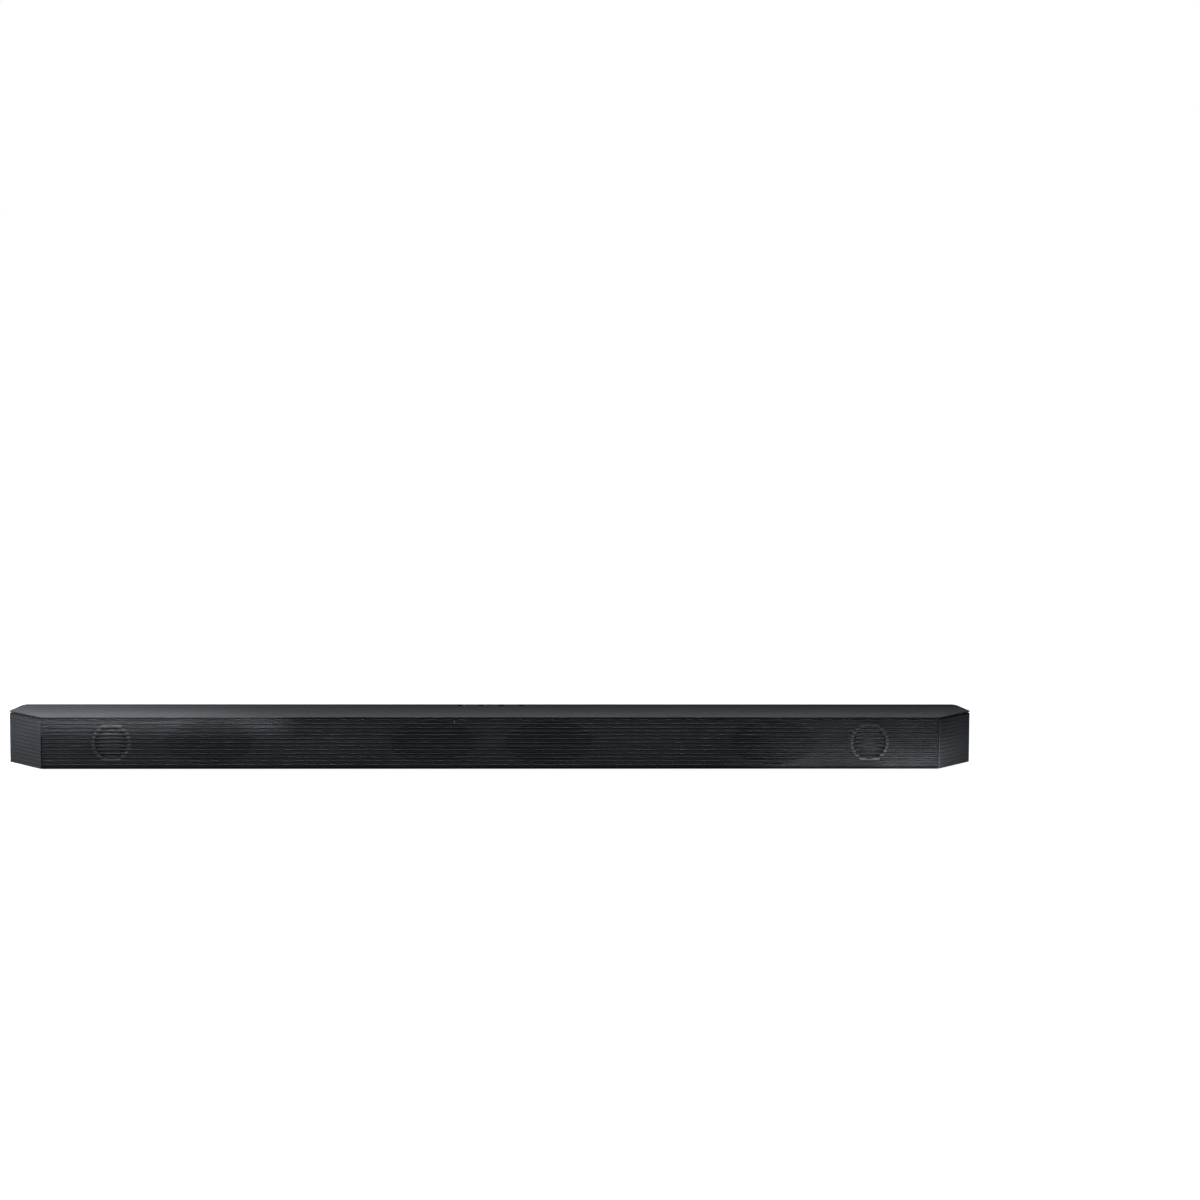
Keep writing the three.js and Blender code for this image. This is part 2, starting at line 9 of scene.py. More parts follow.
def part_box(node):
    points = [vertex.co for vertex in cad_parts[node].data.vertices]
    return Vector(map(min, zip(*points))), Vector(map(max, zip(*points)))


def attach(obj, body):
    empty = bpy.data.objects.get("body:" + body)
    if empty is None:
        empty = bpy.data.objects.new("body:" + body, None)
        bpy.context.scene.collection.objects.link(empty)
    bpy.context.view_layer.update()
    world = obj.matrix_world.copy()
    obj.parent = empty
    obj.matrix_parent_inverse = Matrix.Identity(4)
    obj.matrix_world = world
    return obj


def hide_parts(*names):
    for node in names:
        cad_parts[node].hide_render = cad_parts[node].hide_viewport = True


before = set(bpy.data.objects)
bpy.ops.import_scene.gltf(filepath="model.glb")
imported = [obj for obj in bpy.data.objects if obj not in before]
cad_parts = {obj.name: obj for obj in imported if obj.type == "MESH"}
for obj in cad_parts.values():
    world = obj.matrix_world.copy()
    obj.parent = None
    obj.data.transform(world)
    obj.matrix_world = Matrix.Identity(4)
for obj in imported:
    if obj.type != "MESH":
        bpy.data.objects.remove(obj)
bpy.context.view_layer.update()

# ---------------------------------------------------------------------------------------
# Bottom case: floor, plinth and back wall in one injection-moulded ABS shell, spark-eroded
# to a fine matt texture. It carries every other part and is screwed to the top cover.
# ---------------------------------------------------------------------------------------

MM = 0.001


def group_sockets(name, inputs, outputs):
    """A new shader node group with its inputs, given as (name, default), and its outputs."""
    group = bpy.data.node_groups.new(name, "ShaderNodeTree")
    for label, default in inputs:
        socket = group.interface.new_socket(name=label, in_out="INPUT", socket_type="NodeSocketFloat")
        socket.default_value = default
    for label in outputs:
        group.interface.new_socket(name=label, in_out="OUTPUT", socket_type="NodeSocketFloat")
    start = group.nodes.new("NodeGroupInput")
    end = group.nodes.new("NodeGroupOutput")
    return group, start, end


def feed(tree, slot, value):
    """Gives an input its value: a socket is linked, a colour of three parts gets its alpha."""
    if isinstance(value, bpy.types.NodeSocket):
        tree.links.new(value, slot)
    elif isinstance(value, tuple):
        slot.default_value = (*value, 1.0)
    else:
        slot.default_value = value


def math_node(tree, operation, first, second):
    """A Math node with its two inputs, each a socket or a number."""
    node = tree.nodes.new("ShaderNodeMath")
    node.operation = operation
    feed(tree, node.inputs[0], first)
    feed(tree, node.inputs[1], second)
    return node.outputs[0]


def noise_node(tree, scale, detail, roughness=0.5):
    """Noise over the object's own coordinates, in metres; scale is a socket or a number."""
    place = tree.nodes.new("ShaderNodeTexCoord")
    noise = tree.nodes.new("ShaderNodeTexNoise")
    noise.inputs["Detail"].default_value = detail
    noise.inputs["Roughness"].default_value = roughness
    tree.links.new(place.outputs["Object"], noise.inputs["Vector"])
    feed(tree, noise.inputs["Scale"], scale)
    return noise.outputs["Fac"]


def moulded_grain_group():
    """Spark texture of moulded plastic. Height is fine noise; Shade is a slow mottle; Rough
    adds the mottle and half as much of a finer one to a base roughness."""
    group, start, end = group_sockets(
        "moulded_grain",
        [("Grain Scale", 2500.0), ("Roughness", 0.5), ("Unevenness", 0.08)],
        ["Height", "Shade", "Rough"])
    grain = noise_node(group, start.outputs["Grain Scale"], 3.0, 0.6)
    mottle = noise_node(group, 9.0, 4.0)
    smudge = noise_node(group, 60.0, 2.0)
    drift = math_node(group, "SUBTRACT", mottle, 0.5)
    fine_drift = math_node(group, "SUBTRACT", smudge, 0.5)
    both = math_node(group, "ADD", drift, math_node(group, "MULTIPLY", fine_drift, 0.5))
    swing = math_node(group, "MULTIPLY", both, start.outputs["Unevenness"])
    group.links.new(grain, end.inputs["Height"])
    group.links.new(mottle, end.inputs["Shade"])
    group.links.new(math_node(group, "ADD", start.outputs["Roughness"], swing), end.inputs["Rough"])
    return group


def worn_and_highlit_edges_group():
    """Edge mask for wear and a painted edge highlight: how far a normal rounded over Radius turns away from
    the true normal.
    """
    group, start, end = group_sockets("worn_and_highlit_edges", [("Radius", 0.0006), ("Strength", 3.0)], ["Mask"])
    rounded = group.nodes.new("ShaderNodeBevel")
    rounded.samples = 4
    plain = group.nodes.new("ShaderNodeNewGeometry")
    dot = group.nodes.new("ShaderNodeVectorMath")
    dot.operation = "DOT_PRODUCT"
    group.links.new(start.outputs["Radius"], rounded.inputs["Radius"])
    group.links.new(rounded.outputs["Normal"], dot.inputs[0])
    group.links.new(plain.outputs["Normal"], dot.inputs[1])
    away = math_node(group, "SUBTRACT", 1.0, dot.outputs["Value"])
    scaled = math_node(group, "MULTIPLY", away, start.outputs["Strength"])
    group.links.new(math_node(group, "MINIMUM", scaled, 1.0), end.inputs["Mask"])
    return group


MOULDED_GRAIN = moulded_grain_group()
WORN_AND_HIGHLIT_EDGES = worn_and_highlit_edges_group()


def new_material(name):
    """An empty node material with its Principled shader."""
    material = bpy.data.materials.new(name)
    material.use_nodes = True
    return material, material.node_tree, material.node_tree.nodes["Principled BSDF"]


def put_group(tree, group, **values):
    """A group node with its input values set; spaces in socket names are written as _."""
    node = tree.nodes.new("ShaderNodeGroup")
    node.node_tree = group
    for label, value in values.items():
        node.inputs[label.replace("_", " ")].default_value = value
    return node


def bump_from(tree, shader, height, distance, strength=1.0):
    """Feeds a height, in units of distance metres, to the shader's normal."""
    bump = tree.nodes.new("ShaderNodeBump")
    bump.inputs["Distance"].default_value = distance
    bump.inputs["Strength"].default_value = strength
    tree.links.new(height, bump.inputs["Height"])
    tree.links.new(bump.outputs["Normal"], shader.inputs["Normal"])


def blend_colors(tree, factor, low, high, blend_type="MIX"):
    """A colour that runs from low to high as the factor goes from 0 to 1. Each is a colour or a
    socket; with MULTIPLY it runs to the product of the two."""
    mix = tree.nodes.new("ShaderNodeMix")
    mix.data_type = "RGBA"
    mix.blend_type = blend_type
    for label, value in (("Factor", factor), ("A", low), ("B", high)):
        feed(tree, mix.inputs[label], value)
    return mix.outputs["Result"]


def tinted(color, share):
    """A colour with each part multiplied by the share."""
    return tuple(share * part for part in color)


def moulded_plastic(name, color, roughness, grain_scale=2500.0, grain_depth=0.00002,
                    unevenness=0.08, specular=0.5, wear_and_highlight=0.0):
    """Moulded plastic: a mottled colour, uneven gloss and a fine spark texture, with edges
    lightened by the edge mask when its strength is above 0, partly as wear from handling and partly as a
    painted highlight."""
    material, tree, shader = new_material(name)
    grain = put_group(tree, MOULDED_GRAIN, Grain_Scale=grain_scale, Roughness=roughness,
                      Unevenness=unevenness)
    tone = blend_colors(tree, grain.outputs["Shade"], tinted(color, 0.9), tinted(color, 1.1))
    # Lighter edges: partly handling wear, partly a painted highlight.
    if wear_and_highlight:
        edges = put_group(tree, WORN_AND_HIGHLIT_EDGES, Radius=0.0007, Strength=wear_and_highlight)
        worn_highlit_color = tuple(min(1.0, 1.9 * part + 0.01) for part in color)
        tone = blend_colors(tree, edges.outputs["Mask"], tone, worn_highlit_color)
    tree.links.new(tone, shader.inputs["Base Color"])
    tree.links.new(grain.outputs["Rough"], shader.inputs["Roughness"])
    shader.inputs["Specular IOR Level"].default_value = specular
    bump_from(tree, shader, grain.outputs["Height"], grain_depth)
    return material


def finish_piece(piece, material, smooth_angle=35.0):
    """Gives a piece its material and smooth shading that breaks at edges sharper than the angle."""
    piece.data.materials.clear()
    piece.data.materials.append(material)
    piece.data.shade_smooth()
    piece.data.set_sharp_from_angle(angle=math.radians(smooth_angle))
    return piece


def add_object(name, data):
    """A new object of the scene, at the origin, that holds the data."""
    item = bpy.data.objects.new(name, data)
    bpy.context.scene.collection.objects.link(item)
    return item


def softened_copy(node, name, radius, material):
    """A copy of a CAD shell with its flat faces merged and its edges rounded by a Bevel modifier."""
    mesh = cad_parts[node].data.copy()
    shell = bmesh.new()
    shell.from_mesh(mesh)
    bmesh.ops.remove_doubles(shell, verts=shell.verts, dist=1e-6)
    bmesh.ops.dissolve_limit(shell, angle_limit=math.radians(0.4), verts=shell.verts, edges=shell.edges)
    shell.to_mesh(mesh)
    shell.free()
    mesh.name = name
    piece = add_object(name, mesh)
    bevel = piece.modifiers.new("rounded_edges", "BEVEL")
    bevel.width = radius
    bevel.segments = 3
    bevel.limit_method = "ANGLE"
    bevel.angle_limit = math.radians(30)
    bevel.harden_normals = True
    return finish_piece(piece, material)


def place(piece, body, slot, *nodes):
    """Says which body a piece rides on and which CAD nodes it stands for, which it hides; the slot is not
    used.
    """
    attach(piece, body)
    if nodes:
        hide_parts(*nodes)


case_plastic = moulded_plastic("case_black_abs", (0.016, 0.0165, 0.018), 0.55, 1800.0, 0.00004)
case_shell = softened_copy("bottom_case", "case_shell", 0.4 * MM, case_plastic)
place(case_shell, "cabinet", "case_plastic", "bottom_case")

# ---------------------------------------------------------------------------------------
# Connector bay: a tub moulded from the same black ABS, let into the case from below. The
# sockets look out of its front wall, so that the plugs lie inside the bar's outline.
# ---------------------------------------------------------------------------------------

bay_shell = softened_copy("connector_bay", "plug_recess_tub", 0.3 * MM, case_plastic)
place(bay_shell, "cabinet", "case_plastic", "connector_bay")

# ---------------------------------------------------------------------------------------
# Sockets: black nylon housings with the folded steel shell, the tongue and the gold contacts
# that each plug meets. They are soldered to the port board behind the tub's wall.
# ---------------------------------------------------------------------------------------


def skin(grid, looped=False, capped=True):
    """Surface through rows of points, each row a closed ring: quads join each ring to the next.
    The first and last rings are closed by flat caps, or joined to each other when looped."""
    rows, columns = grid.shape[:2]
    row = np.arange(rows if looped else rows - 1)[:, None]
    column = np.arange(columns)[None, :]
    next_row, next_column = (row + 1) % rows, (column + 1) % columns
    corners = [row * columns + column, row * columns + next_column,
               next_row * columns + next_column, next_row * columns + column]
    faces = np.stack(np.broadcast_arrays(*corners), -1).reshape(-1, 4).tolist()
    if capped and not looped:
        last = (rows - 1) * columns
        faces += [list(range(columns))[::-1], list(range(last, last + columns))]
    return grid.reshape(-1, 3), faces


def build_piece(name, skins, material, smooth_angle=35.0):
    """One object made of several closed skins, with every skin's faces turned outwards."""
    points, faces, start = [], [], 0
    for skin_points, skin_faces in skins:
        points.append(skin_points)
        faces += [[start + index for index in face] for face in skin_faces]
        start += len(skin_points)
    mesh = bpy.data.meshes.new(name)
    mesh.from_pydata(np.concatenate(points).tolist(), [], faces)
    closed = bmesh.new()
    closed.from_mesh(mesh)
    bmesh.ops.recalc_face_normals(closed, faces=closed.faces)
    closed.to_mesh(mesh)
    closed.free()
    return finish_piece(add_object(name, mesh), material, smooth_angle)


def rounded_ring(width, height, radius, arc_steps=6):
    """Points of a rounded rectangle about (0, 0): four quarter circles of the radius, joined by
    straight sides. Returned as an array of (across, up)."""
    angle = np.linspace(0, math.pi / 2, arc_steps)
    turns = np.concatenate([angle + quarter * math.pi / 2 for quarter in range(4)])
    middles = np.repeat([[1, 1], [-1, 1], [-1, -1], [1, -1]], arc_steps, axis=0)
    middles = middles * [width / 2 - radius, height / 2 - radius]
    return middles + radius * np.stack([np.cos(turns), np.sin(turns)], -1)


def upright_ring(ring, x, y, z):
    """Points of (across, up) about (x, z), standing upright at the depth y."""
    return np.column_stack([x + ring[:, 0], np.full(len(ring), y), z + ring[:, 1]])


def prism(low, high, edge):
    """A bar between two corners, drawn from front to back: a rounded rectangle carried along Y, with
    its first and last rings drawn in by the edge radius."""
    (x_low, y_low, z_low), (x_high, y_high, z_high) = low, high
    x, z = (x_low + x_high) / 2, (z_low + z_high) / 2
    rows = []
    for y, inset in ((y_low, edge), (y_low + edge, 0), (y_high - edge, 0), (y_high, edge)):
        ring = rounded_ring(x_high - x_low - 2 * inset, z_high - z_low - 2 * inset,
                            max(edge - inset, edge / 4), 3)
        rows.append(upright_ring(ring, x, y, z))
    return skin(np.stack(rows))


def box_and_centre(node):
    """A CAD node's lowest and highest corner, then the X and Z of its middle, seen from the front."""
    low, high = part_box(node)
    return low, high, (low.x + high.x) / 2, (low.z + high.z) / 2


socket_plastic = moulded_plastic("socket_black_nylon", (0.012, 0.012, 0.013), 0.45, 3000.0)
tongue_plastic = moulded_plastic("tongue_grey_nylon", (0.03, 0.03, 0.033), 0.4, 3000.0)


def plated_metal(name, color, roughness, grain_scale=900.0, metallic=1.0):
    """Plated or drawn metal: a base colour that drifts slowly, uneven gloss and a very fine grain."""
    material, tree, shader = new_material(name)
    grain = put_group(tree, MOULDED_GRAIN, Grain_Scale=grain_scale, Roughness=roughness,
                      Unevenness=0.25)
    tone = blend_colors(tree, grain.outputs["Shade"], tinted(color, 0.85), color)
    tree.links.new(tone, shader.inputs["Base Color"])
    tree.links.new(grain.outputs["Rough"], shader.inputs["Roughness"])
    shader.inputs["Metallic"].default_value = metallic
    bump_from(tree, shader, grain.outputs["Height"], 0.000008)
    return material


nickel = plated_metal("nickel_plate", (0.55, 0.54, 0.52), 0.28)
gold = plated_metal("gold_flash", (0.83, 0.6, 0.25), 0.25)
SHELL_WALL = 0.25 * MM


def socket_liner(name, node, width, height, taper=0.0):
    """The folded steel shell inside a socket's mouth: a rounded ring with thin walls, narrowed at
    its lower corners by the taper, carried from just outside the face to the mouth's end."""
    _, high, x, z = box_and_centre(node)
    mouth, end = high.y + 0.1 * MM, high.y - 9.2 * MM
    clearance = 0.02 * MM
    rows = []
    for y, inset in ((mouth, clearance), (mouth, SHELL_WALL), (end, SHELL_WALL), (end, clearance)):
        outline = rounded_ring(width - 2 * inset, height - 2 * inset, 0.5 * MM)
        lowered = np.clip(-outline[:, 1] / height - 0.05, 0, 1)
        outline[:, 0] *= 1 - taper * lowered
        rows.append(upright_ring(outline, x, y, z))
    liner = build_piece(name, [skin(np.stack(rows), looped=True)], nickel)
    place(liner, "cabinet", "screw_steel")


def socket_tongue(name, node, width, height, lift, contacts, pitch):
    """The insulating tongue, raised from the socket's middle by the lift, with its row of gold
    contact strips below."""
    _, high, x, z = box_and_centre(node)
    z += lift
    root, tip = high.y - 9.4 * MM, high.y - 1.2 * MM
    tongue = build_piece(name, [prism((x - width / 2, root, z - height / 2),
                                      (x + width / 2, tip, z + height / 2), 0.15 * MM)], tongue_plastic)
    place(tongue, "cabinet", "socket_plastic")
    spots = x + (np.arange(contacts) - (contacts - 1) / 2) * pitch
    strips = [prism((spot - 0.3 * pitch, root + 1 * MM, z - height / 2 - 0.08 * MM),
                    (spot + 0.3 * pitch, tip - 0.6 * MM, z - height / 2 + 0.05 * MM), 0.03 * MM)
              for spot in spots]
    place(build_piece(name + "_contacts", strips, gold), "cabinet", "insert_brass")


for node in ("hdmi_in_socket", "hdmi_out_socket"):
    socket_liner(node + "_shell", node, width=14.1 * MM, height=4.8 * MM, taper=0.16)
    socket_tongue(node + "_tongue", node, width=11.2 * MM, height=1.1 * MM, lift=0.4 * MM,
                  contacts=10, pitch=1.0 * MM)
socket_liner("usb_socket_shell", "usb_socket", width=12.5 * MM, height=5.1 * MM)
socket_tongue("usb_socket_tongue", "usb_socket", width=11.0 * MM, height=1.8 * MM, lift=0.9 * MM,
              contacts=4, pitch=2.4 * MM)


def optical_shutter():
    """The sprung flap that closes the optical socket: a plate with a raised rib across it."""
    _, high, x, z = box_and_centre("optical_socket")
    plate_y, half, rib_half = high.y - 1.2 * MM, 4.1 * MM, 3.2 * MM
    parts = [prism((x - half, plate_y - 0.8 * MM, z - half), (x + half, plate_y, z + half), 0.3 * MM),
             prism((x - rib_half, plate_y - 0.2 * MM, z + 2.6 * MM),
                   (x + rib_half, plate_y + 0.4 * MM, z + 3.4 * MM), 0.2 * MM)]
    return build_piece("optical_shutter", parts, tongue_plastic)


place(optical_shutter(), "cabinet", "socket_plastic")


def turned_skin(profile, x, z, stretch=1.0, steps=64, looped=True):
    """A profile of (radius, y) turned about the front-to-back axis through (x, z), then widened
    along X by the stretch."""
    profile = np.array(profile)
    turn = np.linspace(0, 2 * math.pi, steps, endpoint=False)
    radius, depth = profile[:, :1], profile[:, 1:]
    grid = np.stack([x + stretch * radius * np.cos(turn), np.broadcast_to(depth, (len(profile), steps)),
                     z + radius * np.sin(turn)], -1)
    return skin(grid, looped=looped)


def inlet_pin():
    """The plated centre pin of the power inlet: a straight pin whose nose is a quarter circle."""
    _, high, x, z = box_and_centre("power_inlet")
    root, tip, pin_radius, round_off = high.y - 9.3 * MM, high.y - 1.0 * MM, 1.2 * MM, 0.5 * MM
    turn = np.linspace(0, math.pi / 2, 6)
    nose = np.stack([pin_radius - round_off * (1 - np.cos(turn)), tip - round_off * (1 - np.sin(turn))], -1)
    profile = np.concatenate([[[pin_radius, root]], nose, [[0.02 * MM, tip]]])
    return build_piece("power_inlet_pin", [turned_skin(profile, x, z, steps=24, looped=False)], nickel)


def inlet_collar():
    """The raised collar round the power inlet's mouth: a flat ring with its two rims chamfered."""
    _, high, x, z = box_and_centre("power_inlet")
    inner, outer, foot, crest = 3.4 * MM, 5.2 * MM, high.y - 0.3 * MM, high.y + 0.6 * MM
    profile = [(inner, foot), (inner, crest - 0.2 * MM), (inner + 0.2 * MM, crest),
               (outer - 0.3 * MM, crest), (outer, crest - 0.3 * MM), (outer, foot)]
    return build_piece("power_inlet_collar", [turned_skin(profile, x, z, steps=40)], socket_plastic)


place(inlet_pin(), "cabinet", "screw_steel")
place(inlet_collar(), "cabinet", "socket_plastic")
for node in ("power_inlet", "optical_socket", "usb_socket", "hdmi_in_socket", "hdmi_out_socket"):
    finish_piece(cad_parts[node], socket_plastic)

# ---------------------------------------------------------------------------------------
# Feet: four soft rubber pads with rounded rims, glued into shallow pockets of the plinth.
# ---------------------------------------------------------------------------------------

rubber = moulded_plastic("foot_rubber", (0.011, 0.011, 0.0115), 0.8, 1400.0, 0.00005, 0.12, 0.3)


def level_ring(ring, x, y, z):
    """Plan points about (x, y), laid flat at the height z."""
    return np.column_stack([x + ring[:, 0], y + ring[:, 1], np.full(len(ring), z)])


def foot_pad(node):
    """A stadium outline carried up from the table: drawn in at both rims by a quarter circle."""
    low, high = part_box(node)
    middle = (low + high) / 2
    rim = 0.6 * MM
    turn = np.linspace(0, math.pi / 2, 5)
    insets = np.concatenate([rim * (1 - np.sin(turn)), rim * (1 - np.cos(turn))])
    heights = np.concatenate([low.z + rim * (1 - np.cos(turn)), high.z - rim + rim * np.sin(turn)])
    rows = []
    for inset, z in zip(insets, heights):
        width, depth = high.x - low.x - 2 * inset, high.y - low.y - 2 * inset
        ring = rounded_ring(width, depth, depth / 2 - 0.01 * MM, 12)
        rows.append(level_ring(ring, middle.x, middle.y, z))
    return build_piece(node + "_pad", [skin(np.stack(rows))], rubber)


for end in ("front", "rear"):
    for side in ("left", "right"):
        node = f"{end}_{side}_foot"
        place(foot_pad(node), "cabinet", "rubber", node)

# ---------------------------------------------------------------------------------------
# Electronics: glass-fibre boards with green solder mask, an extruded heat sink and a
# screened wireless module. They sit on standoffs inside the case and are seen only apart.
# ---------------------------------------------------------------------------------------


def circuit_board_material():
    """Solder mask over copper: noise cut off at a threshold parts the copper, which is lighter and
    stands a little higher, from the bare board."""
    material, tree, shader = new_material("green_solder_mask")
    copper = math_node(tree, "GREATER_THAN", noise_node(tree, 420.0, 0.0), 0.52)
    tone = blend_colors(tree, copper, (0.012, 0.07, 0.03), (0.02, 0.12, 0.05))
    tree.links.new(tone, shader.inputs["Base Color"])
    shader.inputs["Roughness"].default_value = 0.35
    bump_from(tree, shader, copper, 0.00003)
    return material


board_green = circuit_board_material()
sink_aluminium = plated_metal("extruded_aluminium", (0.62, 0.63, 0.64), 0.35, 400.0)
screen_steel = plated_metal("tinned_steel", (0.5, 0.5, 0.5), 0.3, 500.0)
black_film = moulded_plastic("black_film", (0.03, 0.03, 0.032), 0.35, 900.0)
ELECTRONICS = {
    "main_board": board_green, "port_board": board_green, "amplifier_board": board_green,
    "key_board": board_green, "status_light_board": board_green, "heat_sink": sink_aluminium,
    "wireless_module": screen_steel, "key_ribbon": black_film, "key_mat": rubber,
}
for node, material in ELECTRONICS.items():
    finish_piece(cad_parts[node], material)

# ---------------------------------------------------------------------------------------
# Loudspeakers: pressed frames with a plated magnet, a rubber roll surround and a curved paper
# cone with its dust cap, screwed to the baffle. The two ring drivers have a shallow dome in
# place of the cone, and a pale trim ring that shows between the slats.
# ---------------------------------------------------------------------------------------

baffle_plastic = moulded_plastic("baffle_black_abs", (0.012, 0.012, 0.013), 0.6, 1500.0, 0.00004)
finish_piece(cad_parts["front_baffle"], baffle_plastic)
magnet_steel = plated_metal("zinc_plated_magnet", (0.42, 0.43, 0.45), 0.4, 700.0)
ring_grey = moulded_plastic("ring_satin_grey", (0.21, 0.215, 0.226), 0.45, 2200.0, 0.00001, 0.1)
# Painted light: the ringed drivers' rubber is coloured grey to lift the shade it lies in behind the slats.
grey_rubber_painted_light = moulded_plastic("grey_roll_rubber_painted_light", (0.17, 0.173, 0.182), 0.6, 1800.0, 0.00003, 0.1)
DOME_RISE = 2.2 * MM
CONE_DEPTH = 7.0 * MM
CAP_RISE = 2.6 * MM
CAP_SHARE = 0.42
CONE_WALL = 0.5 * MM
ROLL_WALL = 0.4 * MM
ROLL_LIP = 0.3 * MM
TRIM_WIDTH = 3.5 * MM
TRIM_DEPTH = 3.3 * MM


def cone_material():
    """Coated paper: short fibres as fine, rough noise in the colour, the gloss and the surface."""
    material, tree, shader = new_material("cone_coated_paper")
    fibres = noise_node(tree, 1200.0, 5.0, 0.7)
    tone = blend_colors(tree, fibres, (0.2, 0.204, 0.216), (0.27, 0.275, 0.288))
    tree.links.new(tone, shader.inputs["Base Color"])
    gloss = math_node(tree, "ADD", 0.5, math_node(tree, "MULTIPLY", fibres, 0.2))
    tree.links.new(gloss, shader.inputs["Roughness"])
    bump_from(tree, shader, fibres, 0.00004)
    return material


cone_paper = cone_material()


def diaphragm(node, stretch, name):
    """A cone, or a shallow dome where the driver is ringed, with a parallel back face behind it.
    The dome falls as the square of the radius. The cone's wall follows a sine from its neck out
    to its edge, and a dust cap that falls as the square of the radius closes the neck."""
    low, high, x, z = box_and_centre(node)
    edge = (high.z - low.z) / 2
    run = np.linspace(0, 1, 24)
    radius = np.maximum(edge * run, 0.02 * MM)
    if "ring" in node:
        front = low.y + DOME_RISE * run ** 2
    else:
        in_cap = run < CAP_SHARE
        rise = np.sin((run - CAP_SHARE) / (1 - CAP_SHARE) * math.pi / 2)
        cap = CONE_DEPTH - CAP_RISE * (1 - (run / CAP_SHARE) ** 2)
        front = low.y + np.where(in_cap, cap, CONE_DEPTH * (1 - np.maximum(rise, 0) ** 0.85))
    profile = np.concatenate([np.stack([radius, front], -1),
                              np.stack([radius, front + CONE_WALL], -1)[::-1]])
    return build_piece(name, [turned_skin(profile, x, z, stretch, looped=False)], cone_paper)


def roll_surround(node, stretch, name):
    """A rubber roll, half an ellipse in section, between two flat gluing lips. The ringed drivers
    have rubber coloured grey, lightened as painted light against the shade behind the slats, and the others
    black."""
    low, high, x, z = box_and_centre(node)
    outer, cone_gap = (high.z - low.z) / 2, 0.3 * MM
    inner = (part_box(node.replace("surround", "cone"))[1].z - z) + cone_gap
    middle, half = (outer + inner) / 2, (outer - inner) / 2 - ROLL_LIP
    turn = np.linspace(0, math.pi, 13)
    front, back = high.y - ROLL_WALL, high.y
    height = min(half, front - low.y - 0.05 * MM)
    front_arc = np.stack([middle - half * np.cos(turn), front - height * np.sin(turn)], -1)
    back_arc = np.stack([middle - 0.8 * half * np.cos(turn), back - height * np.sin(turn)], -1)
    profile = np.concatenate([[[inner, front]], front_arc, [[outer, front], [outer, back]],
                              back_arc[::-1], [[inner, back]]])
    skins = [turned_skin(profile, x, z, stretch)]
    return build_piece(name, skins, grey_rubber_painted_light if "ring" in node else rubber)


def trim_ring(node, name):
    """The pale ring: a flat band with quarter-round edges, and a skirt behind it. It is pressed over
    the frame's rim, just behind the slats."""
    low, high, x, z = box_and_centre(node)
    outer, front = (high.z - low.z) / 2, low.y - 0.2 * MM
    inner, round_off = outer - TRIM_WIDTH, 0.5 * MM
    turn = np.linspace(0, math.pi / 2, 6)
    rising, falling = round_off * (1 - np.cos(turn)), round_off * (1 - np.sin(turn))
    outer_edge = np.stack([outer - falling, front + rising], -1)
    inner_edge = np.stack([inner + rising, front + falling], -1)
    skirt = np.array([[outer, front + TRIM_DEPTH], [inner + 0.8 * MM, front + TRIM_DEPTH]])
    profile = np.concatenate([inner_edge, outer_edge, skirt])
    return build_piece(name, [turned_skin(profile, x, z, steps=96)], ring_grey)


DRIVERS = ("left_ring_driver", "right_ring_driver", "left_woofer", "right_woofer",
           "centre_left_woofer", "centre_right_woofer")
for driver in DRIVERS:
    ringed = "ring" in driver
    stretch = 1.0 if ringed else 2.0
    finish_piece(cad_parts[driver + "_frame"], baffle_plastic)
    finish_piece(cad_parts[driver + "_motor"], magnet_steel)
    place(diaphragm(driver + "_cone", stretch, driver + "_diaphragm"),
          driver + "_cone", "cone_paper", driver + "_cone")
    roll = roll_surround(driver + "_surround", stretch, driver + "_roll")
    place(roll, "cabinet", "rubber", driver + "_surround")
    if ringed:
        place(trim_ring(driver + "_frame", driver + "_trim"), "cabinet", "ring_trim")

# ---------------------------------------------------------------------------------------
# Scrim: open-weave black polyester, stretched over the back of the grille and glued at its
# rim. It hides the middle loudspeakers and lets the sound through.
# ---------------------------------------------------------------------------------------

THREAD_TURN = 9000.0  # radians per metre, for threads about 0.7 mm apart
CLOTH_COLUMNS, CLOTH_ROWS = 60, 8
CLOTH_BOW = 0.05 * MM
CLOTH_THICKNESS = 0.3 * MM


def coordinate(tree, space, axis):
    """One axis of a texture space, such as the object's own."""
    where = tree.nodes.new("ShaderNodeTexCoord")
    split = tree.nodes.new("ShaderNodeSeparateXYZ")
    tree.links.new(where.outputs[space], split.inputs["Vector"])
    return split.outputs[axis]


def scrim_material():
    """Plain weave: two crossed sets of threads as sines of X and Z, multiplied into a height."""
    material, tree, shader = new_material("scrim_black_polyester")
    turns = [math_node(tree, "MULTIPLY", coordinate(tree, "Object", axis), THREAD_TURN) for axis in "XZ"]
    threads = [math_node(tree, "SINE", turn, 0.0) for turn in turns]
    weave = math_node(tree, "MULTIPLY", *threads)
    cover = math_node(tree, "ADD", 0.5, math_node(tree, "MULTIPLY", weave, 0.5))
    tone = blend_colors(tree, cover, (0.03, 0.032, 0.036), (0.055, 0.058, 0.064))
    tree.links.new(tone, shader.inputs["Base Color"])
    shader.inputs["Roughness"].default_value = 0.9
    shader.inputs["Sheen Weight"].default_value = 0.2
    bump_from(tree, shader, cover, 0.00008)
    return material


